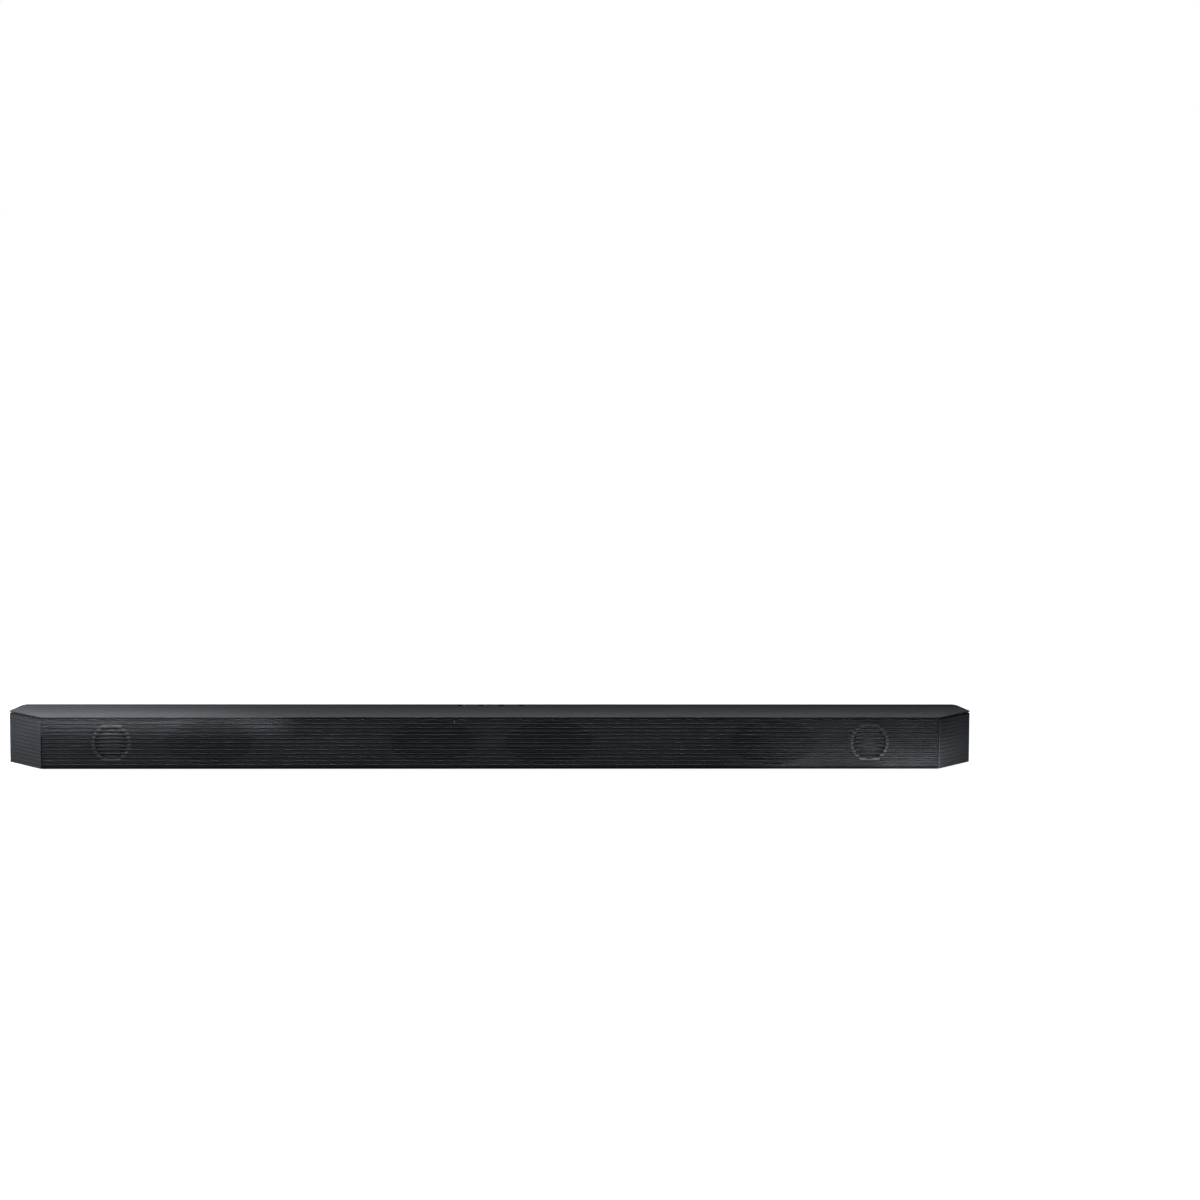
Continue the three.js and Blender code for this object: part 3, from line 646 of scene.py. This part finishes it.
def scrim_sheet():
    """A flat sheet on a grid, bowed back between its glued edges as a sine in both directions, and
    given its thickness by a Solidify modifier."""
    low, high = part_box("grille_cloth")
    front = low.y + 0.05 * MM
    x, z = np.meshgrid(np.linspace(low.x, high.x, CLOTH_COLUMNS + 1),
                       np.linspace(low.z, high.z, CLOTH_ROWS + 1))
    bow = CLOTH_BOW * np.sin(math.pi * (x - low.x) / (high.x - low.x)) * np.sin(
        math.pi * (z - low.z) / (high.z - low.z))
    points = np.stack([x, front + bow, z], -1).reshape(-1, 3)
    row, column = np.meshgrid(np.arange(CLOTH_ROWS), np.arange(CLOTH_COLUMNS), indexing="ij")
    first = (row * (CLOTH_COLUMNS + 1) + column).reshape(-1)
    above = first + CLOTH_COLUMNS + 1
    mesh = bpy.data.meshes.new("grille_scrim")
    mesh.from_pydata(points.tolist(), [], np.stack([first, first + 1, above + 1, above], -1).tolist())
    piece = add_object("grille_scrim", mesh)
    thickness = piece.modifiers.new("cloth_thickness", "SOLIDIFY")
    thickness.thickness = CLOTH_THICKNESS
    thickness.offset = -1.0
    return finish_piece(piece, scrim_material())


scrim = scrim_sheet()
place(scrim, "cabinet", "scrim_cloth", "grille_cloth")

# ---------------------------------------------------------------------------------------
# Front grille: one long moulding of thirteen slats with a finer rib between each two, on a
# web that is cut away in front of the loudspeakers. The web and ribs are coloured lighter than the
# slats as painted light in the grooves. It clips into the case along its rails, and the lower
# rail is a lip that turns in below the front, coloured darker as painted shade.
# ---------------------------------------------------------------------------------------

SLAT_COUNT = 13
SLAT_PITCH = 4.0 * MM
SLAT_HEIGHT = 1.7 * MM
FINE_RIB_HEIGHT = 0.8 * MM
FINE_RIB_DEPTH = 1.4 * MM
NOSE_SHARE = 0.35  # how much of its depth a slat's nose falls back at its edges
WEB_DEPTH = 1.6 * MM
WEB_EDGE = 0.05 * MM
WINDOW_MARGIN = 0.6 * MM
WINDOW_LAND = 4 * MM
RAIL_GAP = 1.15 * MM
END_SHADOW = 0.7 * MM
grille_plastic = moulded_plastic("grille_charcoal", (0.025, 0.0275, 0.0325), 0.42, 2600.0, 0.00001, 0.06)
grille_low, grille_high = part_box("front_grille")
TOP_SLAT_Z = grille_high.z - 0.8 * MM
slat_heights = TOP_SLAT_Z - SLAT_PITCH * np.arange(SLAT_COUNT)
rail_top = slat_heights[-1] - SLAT_HEIGHT / 2 - RAIL_GAP
web_front = grille_high.y - WEB_DEPTH


def nosed_bar(height, depth, root, x_low, x_high, z):
    """A slat or rib, carried along X: its nose falls back as the fourth power of the distance from
    its middle height."""
    across = np.linspace(-1, 1, 15)
    nose = root - depth * (1 - NOSE_SHARE * np.abs(across) ** 4)
    profile = np.concatenate([np.stack([nose, across * height / 2], -1),
                              [[root + 0.3 * MM, height / 2], [root + 0.3 * MM, -height / 2]]])
    rows = [np.column_stack([np.full(len(profile), x), profile[:, 0], z + profile[:, 1]])
            for x in (x_low, x_high)]
    return skin(np.stack(rows))


def windowed_panel(x_low, x_high, z_low, z_high, y_front, y_back, x, z, half_width, half_height):
    """A plate with an oval window: rings run from the oval to the plate's rectangle at the front
    and back again behind, matched by direction from the window's middle."""
    corner_turn = [math.atan2(b - z, a - x) for a, b in
                   ((x_high, z_high), (x_low, z_high), (x_low, z_low), (x_high, z_low))]
    sweep = np.sort(np.concatenate([np.linspace(-math.pi, math.pi, 64, endpoint=False), corner_turn]))
    way = np.stack([np.cos(sweep), np.sin(sweep)], -1)
    reach_x = np.where(way[:, 0] > 0, x_high - x, x - x_low) / np.maximum(np.abs(way[:, 0]), 1e-9)
    reach_z = np.where(way[:, 1] > 0, z_high - z, z - z_low) / np.maximum(np.abs(way[:, 1]), 1e-9)
    outer = way * np.minimum(reach_x, reach_z)[:, None]
    inner = way / np.sqrt((way[:, :1] / half_width) ** 2 + (way[:, 1:] / half_height) ** 2)
    rows = [upright_ring(ring, x, y, z)
            for ring, y in ((inner, y_front), (outer, y_front), (outer, y_back), (inner, y_back))]
    return skin(np.stack(rows), looped=True)


def grille_web():
    """The web as a row of plates: a windowed one for each loudspeaker and plain ones between."""
    z_low, z_high, back = grille_low.z, grille_high.z, grille_high.y
    skins, edge = [], grille_low.x
    spots = sorted((box_and_centre(driver + "_frame") for driver in DRIVERS), key=lambda spot: spot[2])
    for low, high, x, z in spots:
        half_width = (high.x - low.x) / 2 + WINDOW_MARGIN
        half_height = (high.z - low.z) / 2 + WINDOW_MARGIN
        cell_low, cell_high = x - half_width - WINDOW_LAND, x + half_width + WINDOW_LAND
        skins.append(prism((edge, web_front, z_low), (cell_low, back, z_high), WEB_EDGE))
        skins.append(windowed_panel(cell_low, cell_high, z_low, z_high, web_front, back,
                                    x, z, half_width, half_height))
        edge = cell_high
    skins.append(prism((edge, web_front, z_low), (grille_high.x, back, z_high), WEB_EDGE))
    return skins


def fine_ribs():
    """The set-back ribs, one midway between each two slats, broken in front of the pale rings."""
    rings = [box_and_centre(driver + "_frame") for driver in DRIVERS if "ring" in driver]
    ribs = []
    for z in slat_heights[:-1] - SLAT_PITCH / 2:
        stops = [grille_low.x + END_SHADOW, grille_high.x - END_SHADOW]
        for low, high, ring_x, ring_z in rings:
            opening = ((high.z - low.z) / 2 + WINDOW_MARGIN) ** 2 - (z - ring_z) ** 2
            if opening > 0:
                half = math.sqrt(opening)
                stops += [ring_x - half, ring_x + half]
        stops.sort()
        ribs += [nosed_bar(FINE_RIB_HEIGHT, FINE_RIB_DEPTH, web_front, x_low, x_high, z)
                 for x_low, x_high in zip(stops[::2], stops[1::2])]
    return ribs


def rolled_lip():
    """The rail under the lowest slat: a quarter ellipse in section that turns in below the front."""
    set_back, roll_depth, base = 0.3 * MM, 0.8 * MM, grille_low.z - 0.3 * MM
    turn = np.linspace(0, math.pi / 2, 10)
    profile = np.stack([grille_low.y + set_back + roll_depth * (1 - np.cos(turn)),
                        rail_top - (rail_top - base) * np.sin(turn)], -1)
    profile = np.concatenate([profile, [[grille_high.y, base], [grille_high.y, rail_top]]])
    return skin(np.stack([np.column_stack([np.full(len(profile), x), profile])
                          for x in (grille_low.x, grille_high.x)]))


def front_slats():
    """All the slats, each a nosed bar from one end of the front to the other."""
    return [nosed_bar(SLAT_HEIGHT, web_front - grille_low.y, web_front, grille_low.x + END_SHADOW,
                      grille_high.x - END_SHADOW, z) for z in slat_heights]


# Painted light: the web and fine ribs are coloured lighter than the slats of the same moulding, lifting the
# shade in the grooves.
web_painted_light_plastic = moulded_plastic("web_charcoal_painted_light", (0.074, 0.079, 0.09), 0.5, 2600.0, 0.00001, 0.06)
place(build_piece("front_slats", front_slats(), grille_plastic, 50.0),
      "cabinet", "grille_plastic", "front_grille")
place(build_piece("front_web", fine_ribs() + grille_web(), web_painted_light_plastic, 50.0),
      "cabinet", "grille_plastic")
# Painted shade: the lip is coloured darker than the slats to stand for the shade under the front.
lip_painted_shade_plastic = moulded_plastic("lip_charcoal_painted_shade", (0.009, 0.0096, 0.011), 0.6, 1500.0, 0.00003,
                             specular=0.25)
place(build_piece("front_lip", [rolled_lip()], lip_painted_shade_plastic, 50.0), "cabinet", "grille_plastic")

# ---------------------------------------------------------------------------------------
# End grilles: each a moulding that wraps both faces of its end, with the same slats between
# an upright post at the front corner and one at the back. They clip to the case's floor.
# ---------------------------------------------------------------------------------------

# Painted light: the end walls and posts are coloured lighter than the slats, which lifts the shade in the
# shallow grooves and paints the highlight line of the front post.
end_wall_painted_light_plastic = moulded_plastic("end_wall_charcoal_painted_light", (0.033, 0.0352, 0.04), 0.45, 2600.0, 0.00001, 0.06)
END_GROOVE = 0.5 * MM
END_WALL = 3 * MM
POST_WIDTH = 2.2 * MM
SLAT_STOP = 1.6 * MM
SWELL_RADIUS = 1 * MM
end_low, end_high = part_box("right_end_grille")
FRONT_CORNER = np.array([478.0, -52.5]) * MM
WIDEST_CORNER = np.array([515.9, -3.9]) * MM
BACK_CORNER = np.array([504.3, 52.5]) * MM


def unit(vector):
    """The vector scaled to length 1."""
    return vector / np.hypot(*vector)


def outward(vector):
    """A plan direction turned a quarter to the right, which is outwards along the right-hand end."""
    return np.array([vector[1], -vector[0]])


front_way = unit(WIDEST_CORNER - FRONT_CORNER)
back_way = unit(BACK_CORNER - WIDEST_CORNER)


def end_route(inset, start, stop):
    """Plan points along one end at an inset from its outer faces: from a distance start past the
    front corner, round the widest corner on an arc, to a distance stop before the back corner."""
    bend = math.acos(float(front_way @ back_way))
    trim = SWELL_RADIUS * math.tan(bend / 2)
    centre = WIDEST_CORNER - front_way * trim - outward(front_way) * SWELL_RADIUS
    first = math.atan2(*outward(front_way)[::-1])
    turn = first + np.linspace(0, bend, 9)
    arc = centre + (SWELL_RADIUS - inset) * np.stack([np.cos(turn), np.sin(turn)], -1)
    head = FRONT_CORNER + front_way * start - outward(front_way) * inset
    tail = BACK_CORNER - back_way * stop - outward(back_way) * inset
    return np.concatenate([[head], arc, [tail]])


def end_slat(z, height):
    """A slat carried along the end's route: the nose profile of the front slats, laid across it."""
    across = np.linspace(-1, 1, 11)
    insets = np.concatenate([END_GROOVE * NOSE_SHARE * np.abs(across) ** 4, [END_GROOVE + 0.2 * MM] * 2])
    heights = z + np.concatenate([across, [1, -1]]) * height / 2
    routes = np.stack([end_route(inset, SLAT_STOP, SLAT_STOP) for inset in insets], 1)
    levels = np.broadcast_to(heights[None, :, None], (*routes.shape[:2], 1))
    return skin(np.concatenate([routes, levels], -1))


def end_wall():
    """The backing wall and its two posts: a closed plan outline carried straight up. It comes out
    flush with the slats on the arc of the widest corner."""
    step = 0.3 * MM
    corner_inner = FRONT_CORNER[0] - 0.8 * MM
    face = end_route(END_GROOVE, POST_WIDTH, POST_WIDTH)
    face[1:-1] = end_route(0.02 * MM, POST_WIDTH, POST_WIDTH)[1:-1]
    inside = end_route(END_WALL, 6 * MM, 1 * MM)[::-1]
    nose_turn = np.linspace(-math.pi / 2, math.atan2(*outward(front_way)[::-1]), 7)
    nose_radius = 0.8 * MM
    nose_trim = nose_radius * math.tan((nose_turn[-1] - nose_turn[0]) / 2)
    nose_centre = FRONT_CORNER + np.array([-nose_trim, nose_radius])
    nose = nose_centre + nose_radius * np.stack([np.cos(nose_turn), np.sin(nose_turn)], -1)
    post_edge = [FRONT_CORNER + front_way * (POST_WIDTH - step), face[0]]
    back_post = [face[-1], BACK_CORNER - back_way * (POST_WIDTH - step), BACK_CORNER - back_way * 0.8 * MM,
                 BACK_CORNER + np.array([-0.8 * MM, 0.0]), np.array([end_low.x + 20 * MM, BACK_CORNER[1]]),
                 np.array([end_low.x + 20 * MM, BACK_CORNER[1] - 3 * MM])]
    front_return = [np.array([corner_inner, FRONT_CORNER[1] + 3.6 * MM])]
    plan = np.concatenate([[[corner_inner, FRONT_CORNER[1]]], nose, post_edge, face[1:-1], back_post,
                           inside, front_return])
    return skin(np.stack([level_ring(plan, 0, 0, z) for z in (end_low.z, end_high.z)]))


def end_slats():
    """All the slats of one end, and the flat rail under the lowest one."""
    rail_height = rail_top - end_low.z
    bars = [(z, SLAT_HEIGHT) for z in slat_heights] + [(end_low.z + rail_height / 2, rail_height)]
    return [end_slat(z, height) for z, height in bars]


def mirrored(skins):
    """The same skins with X reversed; build_piece turns their faces outwards again."""
    return [(points * [-1, 1, 1], faces) for points, faces in skins]


place(build_piece("right_end_slats", end_slats(), grille_plastic, 40.0),
      "cabinet", "grille_plastic", "right_end_grille")
place(build_piece("left_end_slats", mirrored(end_slats()), grille_plastic, 40.0),
      "cabinet", "grille_plastic", "left_end_grille")
place(build_piece("right_end_wall", [end_wall()], end_wall_painted_light_plastic, 40.0), "cabinet", "grille_plastic")
place(build_piece("left_end_wall", mirrored([end_wall()]), end_wall_painted_light_plastic, 40.0), "cabinet", "grille_plastic")

# ---------------------------------------------------------------------------------------
# Status light: a blade of frosted acrylic, cast and sanded, that is pushed in from behind the
# grille. It brings the light of one diode on the small board to the front of the slats.
# ---------------------------------------------------------------------------------------


def frosted_acrylic():
    """Frosted acrylic: milky and part clear, with fine noise in its gloss from the sanding."""
    material, tree, shader = new_material("frosted_acrylic")
    frost = noise_node(tree, 3000.0, 3.0)
    gloss = math_node(tree, "ADD", 0.3, math_node(tree, "MULTIPLY", frost, 0.25))
    tone = blend_colors(tree, frost, (0.32, 0.33, 0.34), (0.4, 0.41, 0.42))
    tree.links.new(tone, shader.inputs["Base Color"])
    tree.links.new(gloss, shader.inputs["Roughness"])
    shader.inputs["Transmission Weight"].default_value = 0.3
    bump_from(tree, shader, frost, 0.00001)
    return material


guide_low, guide_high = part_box("status_light_guide")
guide = build_piece("status_light_blade", [prism(guide_low, guide_high, 0.25 * MM)], frosted_acrylic())
place(guide, "cabinet", "light_lens", "status_light_guide")

# ---------------------------------------------------------------------------------------
# Top cover: one wide ABS panel with a satin charcoal finish. Its thin lip overhangs a shadow
# gap above the slats, it eases down towards the back, and it holds the well for the keys.
# ---------------------------------------------------------------------------------------

# Painted shade: the cover's colour is darkened along its rear slope, where less light falls.
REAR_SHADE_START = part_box("top_cover")[1].y - 14.5 * MM
REAR_SHADE_FADE = 0.5 * MM
PAINTED_REAR_SHADE = (0.35, 0.35, 0.35)


def add_painted_rear_shade(material):
    """Darkens the cover's colour along its rear slope as painted shade: a mask that
    rises with depth from the shade's start over its fade."""
    tree = material.node_tree
    shader = tree.nodes["Principled BSDF"]
    tone = shader.inputs["Base Color"].links[0].from_socket
    past_start = math_node(tree, "SUBTRACT", coordinate(tree, "Object", "Y"), REAR_SHADE_START)
    rise = math_node(tree, "MULTIPLY", past_start, 1 / REAR_SHADE_FADE)
    mask = math_node(tree, "MINIMUM", math_node(tree, "MAXIMUM", rise, 0.0), 1.0)
    shaded = blend_colors(tree, mask, tone, PAINTED_REAR_SHADE, "MULTIPLY")
    tree.links.new(shaded, shader.inputs["Base Color"])


# The cover's lighter edges are partly wear and partly a painted highlight.
cover_plastic = moulded_plastic("cover_satin_charcoal", (0.038, 0.0422, 0.0505), 0.38, 3200.0,
                                0.000008, 0.05, wear_and_highlight=0.6)
add_painted_rear_shade(cover_plastic)
cover_shell = softened_copy("top_cover", "cover_panel", 0.35 * MM, cover_plastic)
place(cover_shell, "cabinet", "cover_plastic", "top_cover")

# ---------------------------------------------------------------------------------------
# Keys: three moulded caps with softly dished tops, each on a stem that presses a dome of the
# silicone mat. They stand in one well near the back of the cover.
# ---------------------------------------------------------------------------------------

key_plastic = moulded_plastic("key_satin_charcoal", (0.05, 0.053, 0.058), 0.42, 3000.0, 0.00001, 0.05)


def round_ring(radius, steps):
    """Points of a circle about (0, 0), as (across, up)."""
    turn = np.linspace(0, 2 * math.pi, steps, endpoint=False)
    return radius * np.stack([np.cos(turn), np.sin(turn)], -1)


def key_cap(node):
    """A rounded rectangle carried up from the cap's base, in over a quarter circle at the rim, and
    across a top that is dished by a sixth of a millimetre as a cosine of the way in."""
    low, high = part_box(node)
    middle = (low + high) / 2
    base, rim, dish = low.z + 2.5 * MM, 0.7 * MM, 0.16 * MM
    turn = np.linspace(0, math.pi / 2, 7)
    way_in = np.linspace(0, 1, 8)[1:]
    half = (high.x - low.x) / 2
    insets = np.concatenate([[0.0], rim * (1 - np.cos(turn)), rim + way_in * (half - rim - 0.6 * MM)])
    top = high.z - dish * (1 - np.cos(way_in * math.pi)) / 2
    heights = np.concatenate([[base], high.z - rim + rim * np.sin(turn), top])
    rows = []
    for inset, z in zip(insets, heights):
        ring = rounded_ring(high.x - low.x - 2 * inset, high.y - low.y - 2 * inset,
                            max(1.6 * MM - inset, 0.3 * MM), 7)
        rows.append(level_ring(ring, middle.x, middle.y, z))
    stem = [level_ring(round_ring(2 * MM, 24), middle.x, middle.y, z) for z in (low.z, base + 0.2 * MM)]
    return build_piece(node + "_cap", [skin(np.stack(rows)), skin(np.stack(stem))], key_plastic)


for node in ("power_key", "volume_down_key", "volume_up_key"):
    place(key_cap(node), node, "key_plastic", node)

# ---------------------------------------------------------------------------------------
# Fasteners: black-zinc pan-head screws with a cross recess, driven up from below, and the
# two turned brass inserts that a wall bracket screws into.
# ---------------------------------------------------------------------------------------

black_zinc = plated_metal("black_zinc", (0.06, 0.06, 0.063), 0.35, 800.0, 0.9)
turned_brass = plated_metal("turned_brass", (0.72, 0.5, 0.2), 0.3, 600.0)
HEAD_STEPS = 48
DOME_FALL = 0.35 * MM
RECESS_DEPTH = 0.9 * MM
ARM_HALF_WIDTH, ARM_REACH = 0.16, 0.62  # as shares of the head's radius
SHANK_RADIUS = 1.45 * MM


def pan_head(node):
    """A domed disc facing down: its height falls as the square of the radius, and a cross-shaped
    recess is pressed in where either arm's width covers the point."""
    low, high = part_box(node)
    x, y, radius = (low.x + high.x) / 2, (low.y + high.y) / 2, (high.x - low.x) / 2
    run = np.linspace(0.02, 1, 14)[:, None]
    turn = np.linspace(0, 2 * math.pi, HEAD_STEPS, endpoint=False)[None, :]
    across, up = run * np.cos(turn), run * np.sin(turn)
    arm = np.minimum(np.abs(across), np.abs(up)) < ARM_HALF_WIDTH
    reach = np.maximum(np.abs(across), np.abs(up)) < ARM_REACH
    dome = low.z + DOME_FALL * run ** 2 * np.ones_like(turn)
    height = np.where(arm & reach, low.z + RECESS_DEPTH, dome)
    top = np.stack([x + radius * across, y + radius * up, height], -1)
    rim = [level_ring(round_ring(rim_radius, HEAD_STEPS), x, y, z)
           for rim_radius, z in ((radius, low.z + 1.2 * MM), (0.96 * radius, low.z + 1.6 * MM))]
    shank = [level_ring(round_ring(SHANK_RADIUS, HEAD_STEPS), x, y, z) for z in (low.z + 1.5 * MM, high.z)]
    return build_piece(node + "_head", [skin(np.concatenate([top, rim])), skin(np.stack(shank))], black_zinc)


for end in ("front", "rear"):
    for side in ("left", "right"):
        node = f"{end}_{side}_screw"
        place(pan_head(node), "cabinet", "screw_steel", node)
for side in ("left", "right"):
    finish_piece(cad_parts[f"{side}_mount_insert"], turned_brass)

# ---------------------------------------------------------------------------------------
# Studio: a round table of white acrylic, lit from below, in front of a white backdrop under a
# dim dome. Soft boxes and gridded strips, kept out of view, light the bar, and the camera
# looks down a little from in front, on a long lens.
# ---------------------------------------------------------------------------------------


def light_table(tree, lit, output, glow_strength):
    """White acrylic lit from below: to the camera it shows the light falling on it and its own glow
    together. What it sends on to the object is only the dull bounce of a grey card."""
    glow = tree.nodes.new("ShaderNodeEmission")
    glow.inputs["Strength"].default_value = glow_strength
    shown = tree.nodes.new("ShaderNodeAddShader")
    tree.links.new(lit, shown.inputs[0])
    tree.links.new(glow.outputs["Emission"], shown.inputs[1])
    card = tree.nodes.new("ShaderNodeBsdfDiffuse")
    card.inputs["Color"].default_value = (0.12, 0.12, 0.12, 1.0)
    path = tree.nodes.new("ShaderNodeLightPath")
    choose = tree.nodes.new("ShaderNodeMixShader")
    tree.links.new(path.outputs["Is Camera Ray"], choose.inputs["Fac"])
    tree.links.new(card.outputs["BSDF"], choose.inputs[1])
    tree.links.new(shown.outputs["Shader"], choose.inputs[2])
    tree.links.new(choose.outputs["Shader"], output)


def studio_floor():
    """A round floor as flat rings of growing radius about a small disc, at the height where the
    feet stand."""
    steps = 64
    rings = [level_ring(round_ring(radius, steps), 0, 0, 0) for radius in (0.02, 0.5, 2.0, 10.0, 40.0)]
    points, faces = skin(np.stack(rings), capped=False)
    faces.append(list(range(steps)))
    mesh = bpy.data.meshes.new("studio_floor")
    mesh.from_pydata(points.tolist(), [], faces)
    material, tree, shader = new_material("pale_floor")
    paint = noise_node(tree, 1.5, 2.0)
    tone = blend_colors(tree, paint, (0.78, 0.78, 0.78), (0.82, 0.82, 0.82))
    tree.links.new(tone, shader.inputs["Base Color"])
    shader.inputs["Roughness"].default_value = 0.9
    shader.inputs["Specular IOR Level"].default_value = 0.1
    light_table(tree, shader.outputs["BSDF"], tree.nodes["Material Output"].inputs["Surface"], 0.985)
    mesh.materials.append(material)
    return add_object("studio_floor", mesh)


def aim(item, place_at, target):
    """Puts a light or camera at a place and turns its -Z axis to the target."""
    item.location = Vector(place_at)
    item.rotation_mode = "QUATERNION"
    item.rotation_quaternion = (Vector(target) - Vector(place_at)).to_track_quat("-Z", "Y")


LIGHT_TINT = (0.94, 0.98, 1.0)


def add_box_light(name, place_at, target, energy, size, spread=180):
    """A rectangular soft box of a width and a height; a grid narrows its spread, in degrees. It is
    kept out of the camera's own view."""
    data = bpy.data.lights.new(name, "AREA")
    data.energy = energy
    data.color = LIGHT_TINT
    data.shape = "RECTANGLE"
    data.size, data.size_y = size
    data.spread = math.radians(spread)
    light = add_object(name, data)
    light.visible_camera = False
    aim(light, place_at, target)


def studio_world():
    """A soft dome for the lighting, dark up to 15 degrees and brightest overhead, seen as a white
    backdrop by the camera itself."""
    world = bpy.data.worlds.new("studio_surround")
    bpy.context.scene.world = world
    world.use_nodes = True
    tree = world.node_tree
    backdrop = tree.nodes["Background"]
    backdrop.inputs["Color"].default_value = (1.0, 1.0, 1.0, 1.0)
    rise = tree.nodes.new("ShaderNodeMapRange")
    rise.inputs["From Min"].default_value = 0.26
    rise.inputs["From Max"].default_value = 0.9
    tree.links.new(coordinate(tree, "Generated", "Z"), rise.inputs["Value"])
    dome = tree.nodes.new("ShaderNodeBackground")
    dome.inputs["Strength"].default_value = 0.0364
    tree.links.new(blend_colors(tree, rise.outputs["Result"], (0.0, 0.0, 0.0), (0.9, 0.97, 1.0)),
                   dome.inputs["Color"])
    path = tree.nodes.new("ShaderNodeLightPath")
    mix = tree.nodes.new("ShaderNodeMixShader")
    tree.links.new(path.outputs["Is Camera Ray"], mix.inputs["Fac"])
    tree.links.new(dome.outputs["Background"], mix.inputs[1])
    tree.links.new(backdrop.outputs["Background"], mix.inputs[2])
    tree.links.new(mix.outputs["Shader"], tree.nodes["World Output"].inputs["Surface"])


studio_floor()
studio_world()

# Soft boxes: one low behind the left end for the sheen on the cover, and one to the front left and a
# wide one in front for the slats.
add_box_light("back_left_box", (-1.9, 2.6, 0.8), (-0.3, 0.0, 0.05), 75.5, (1.4, 1.0))
add_box_light("front_left_box", (-1.6, -2.0, 1.2), (-0.3, 0.0, 0.03), 11.1, (1.2, 1.2))
add_box_light("front_wide_box", (0.0, -3.0, 1.0), (0.0, 0.0, 0.03), 13.3, (2.5, 0.6))

# Strips with honeycomb grids: they shape the fall of light over the cover's depth and along the
# upper left and lower right of the front.
add_box_light("cover_strip", (0.0, -0.12, 0.5), (0.0, -0.065, 0.06), 0.251, (1.5, 0.05), 30)
add_box_light("cover_edge_strip", (0.0, 0.3, 0.45), (0.0, -0.06, 0.06), 0.149, (1.5, 0.03), 24)
add_box_light("cover_left_strip", (-0.52, 0.3, 0.45), (-0.52, -0.06, 0.06), 0.07, (0.42, 0.03), 24)
add_box_light("upper_left_strip", (-0.46, -0.125, 0.078), (-0.46, -0.0525, 0.056), 0.0128, (0.26, 0.006), 30)
add_box_light("upper_middle_strip", (-0.28, -0.125, 0.078), (-0.28, -0.0525, 0.056), 0.00473,
              (0.12, 0.006), 30)
add_box_light("left_end_card", (-0.75, -0.12, 0.12), (-0.5, -0.03, 0.05), 0.0933, (0.12, 0.06), 60)
add_box_light("lower_right_strip", (0.5, -0.074, 0.005), (0.5, -0.0525, 0.018), 0.00756, (0.16, 0.006), 120)
add_box_light("low_right_card", (0.45, -0.11, 0.006), (0.45, -0.0525, 0.02), 0.0248, (0.3, 0.01), 120)
add_box_light("right_end_card", (0.555, -0.06, 0.006), (0.5, -0.03, 0.02), 0.0108, (0.05, 0.01), 120)

camera_data = bpy.data.cameras.new("product_camera")
camera_data.lens = 116.48
camera_data.sensor_width = 36.0
camera_data.clip_end = 200.0
camera = add_object("product_camera", camera_data)
camera.location = (-0.0078, -4.1394, 0.6534)
PITCH = math.radians(-6.52)
YAW = math.radians(-1.718)
ROLL = math.radians(0.252)
camera.rotation_mode = "QUATERNION"
turned = Matrix.Rotation(YAW, 3, "Z") @ Matrix.Rotation(math.pi / 2 + PITCH, 3, "X")
turned = turned @ Matrix.Rotation(ROLL, 3, "Z")
camera.rotation_quaternion = turned.to_quaternion()
bpy.context.scene.camera = camera
bpy.context.scene.view_settings.view_transform = "Standard"
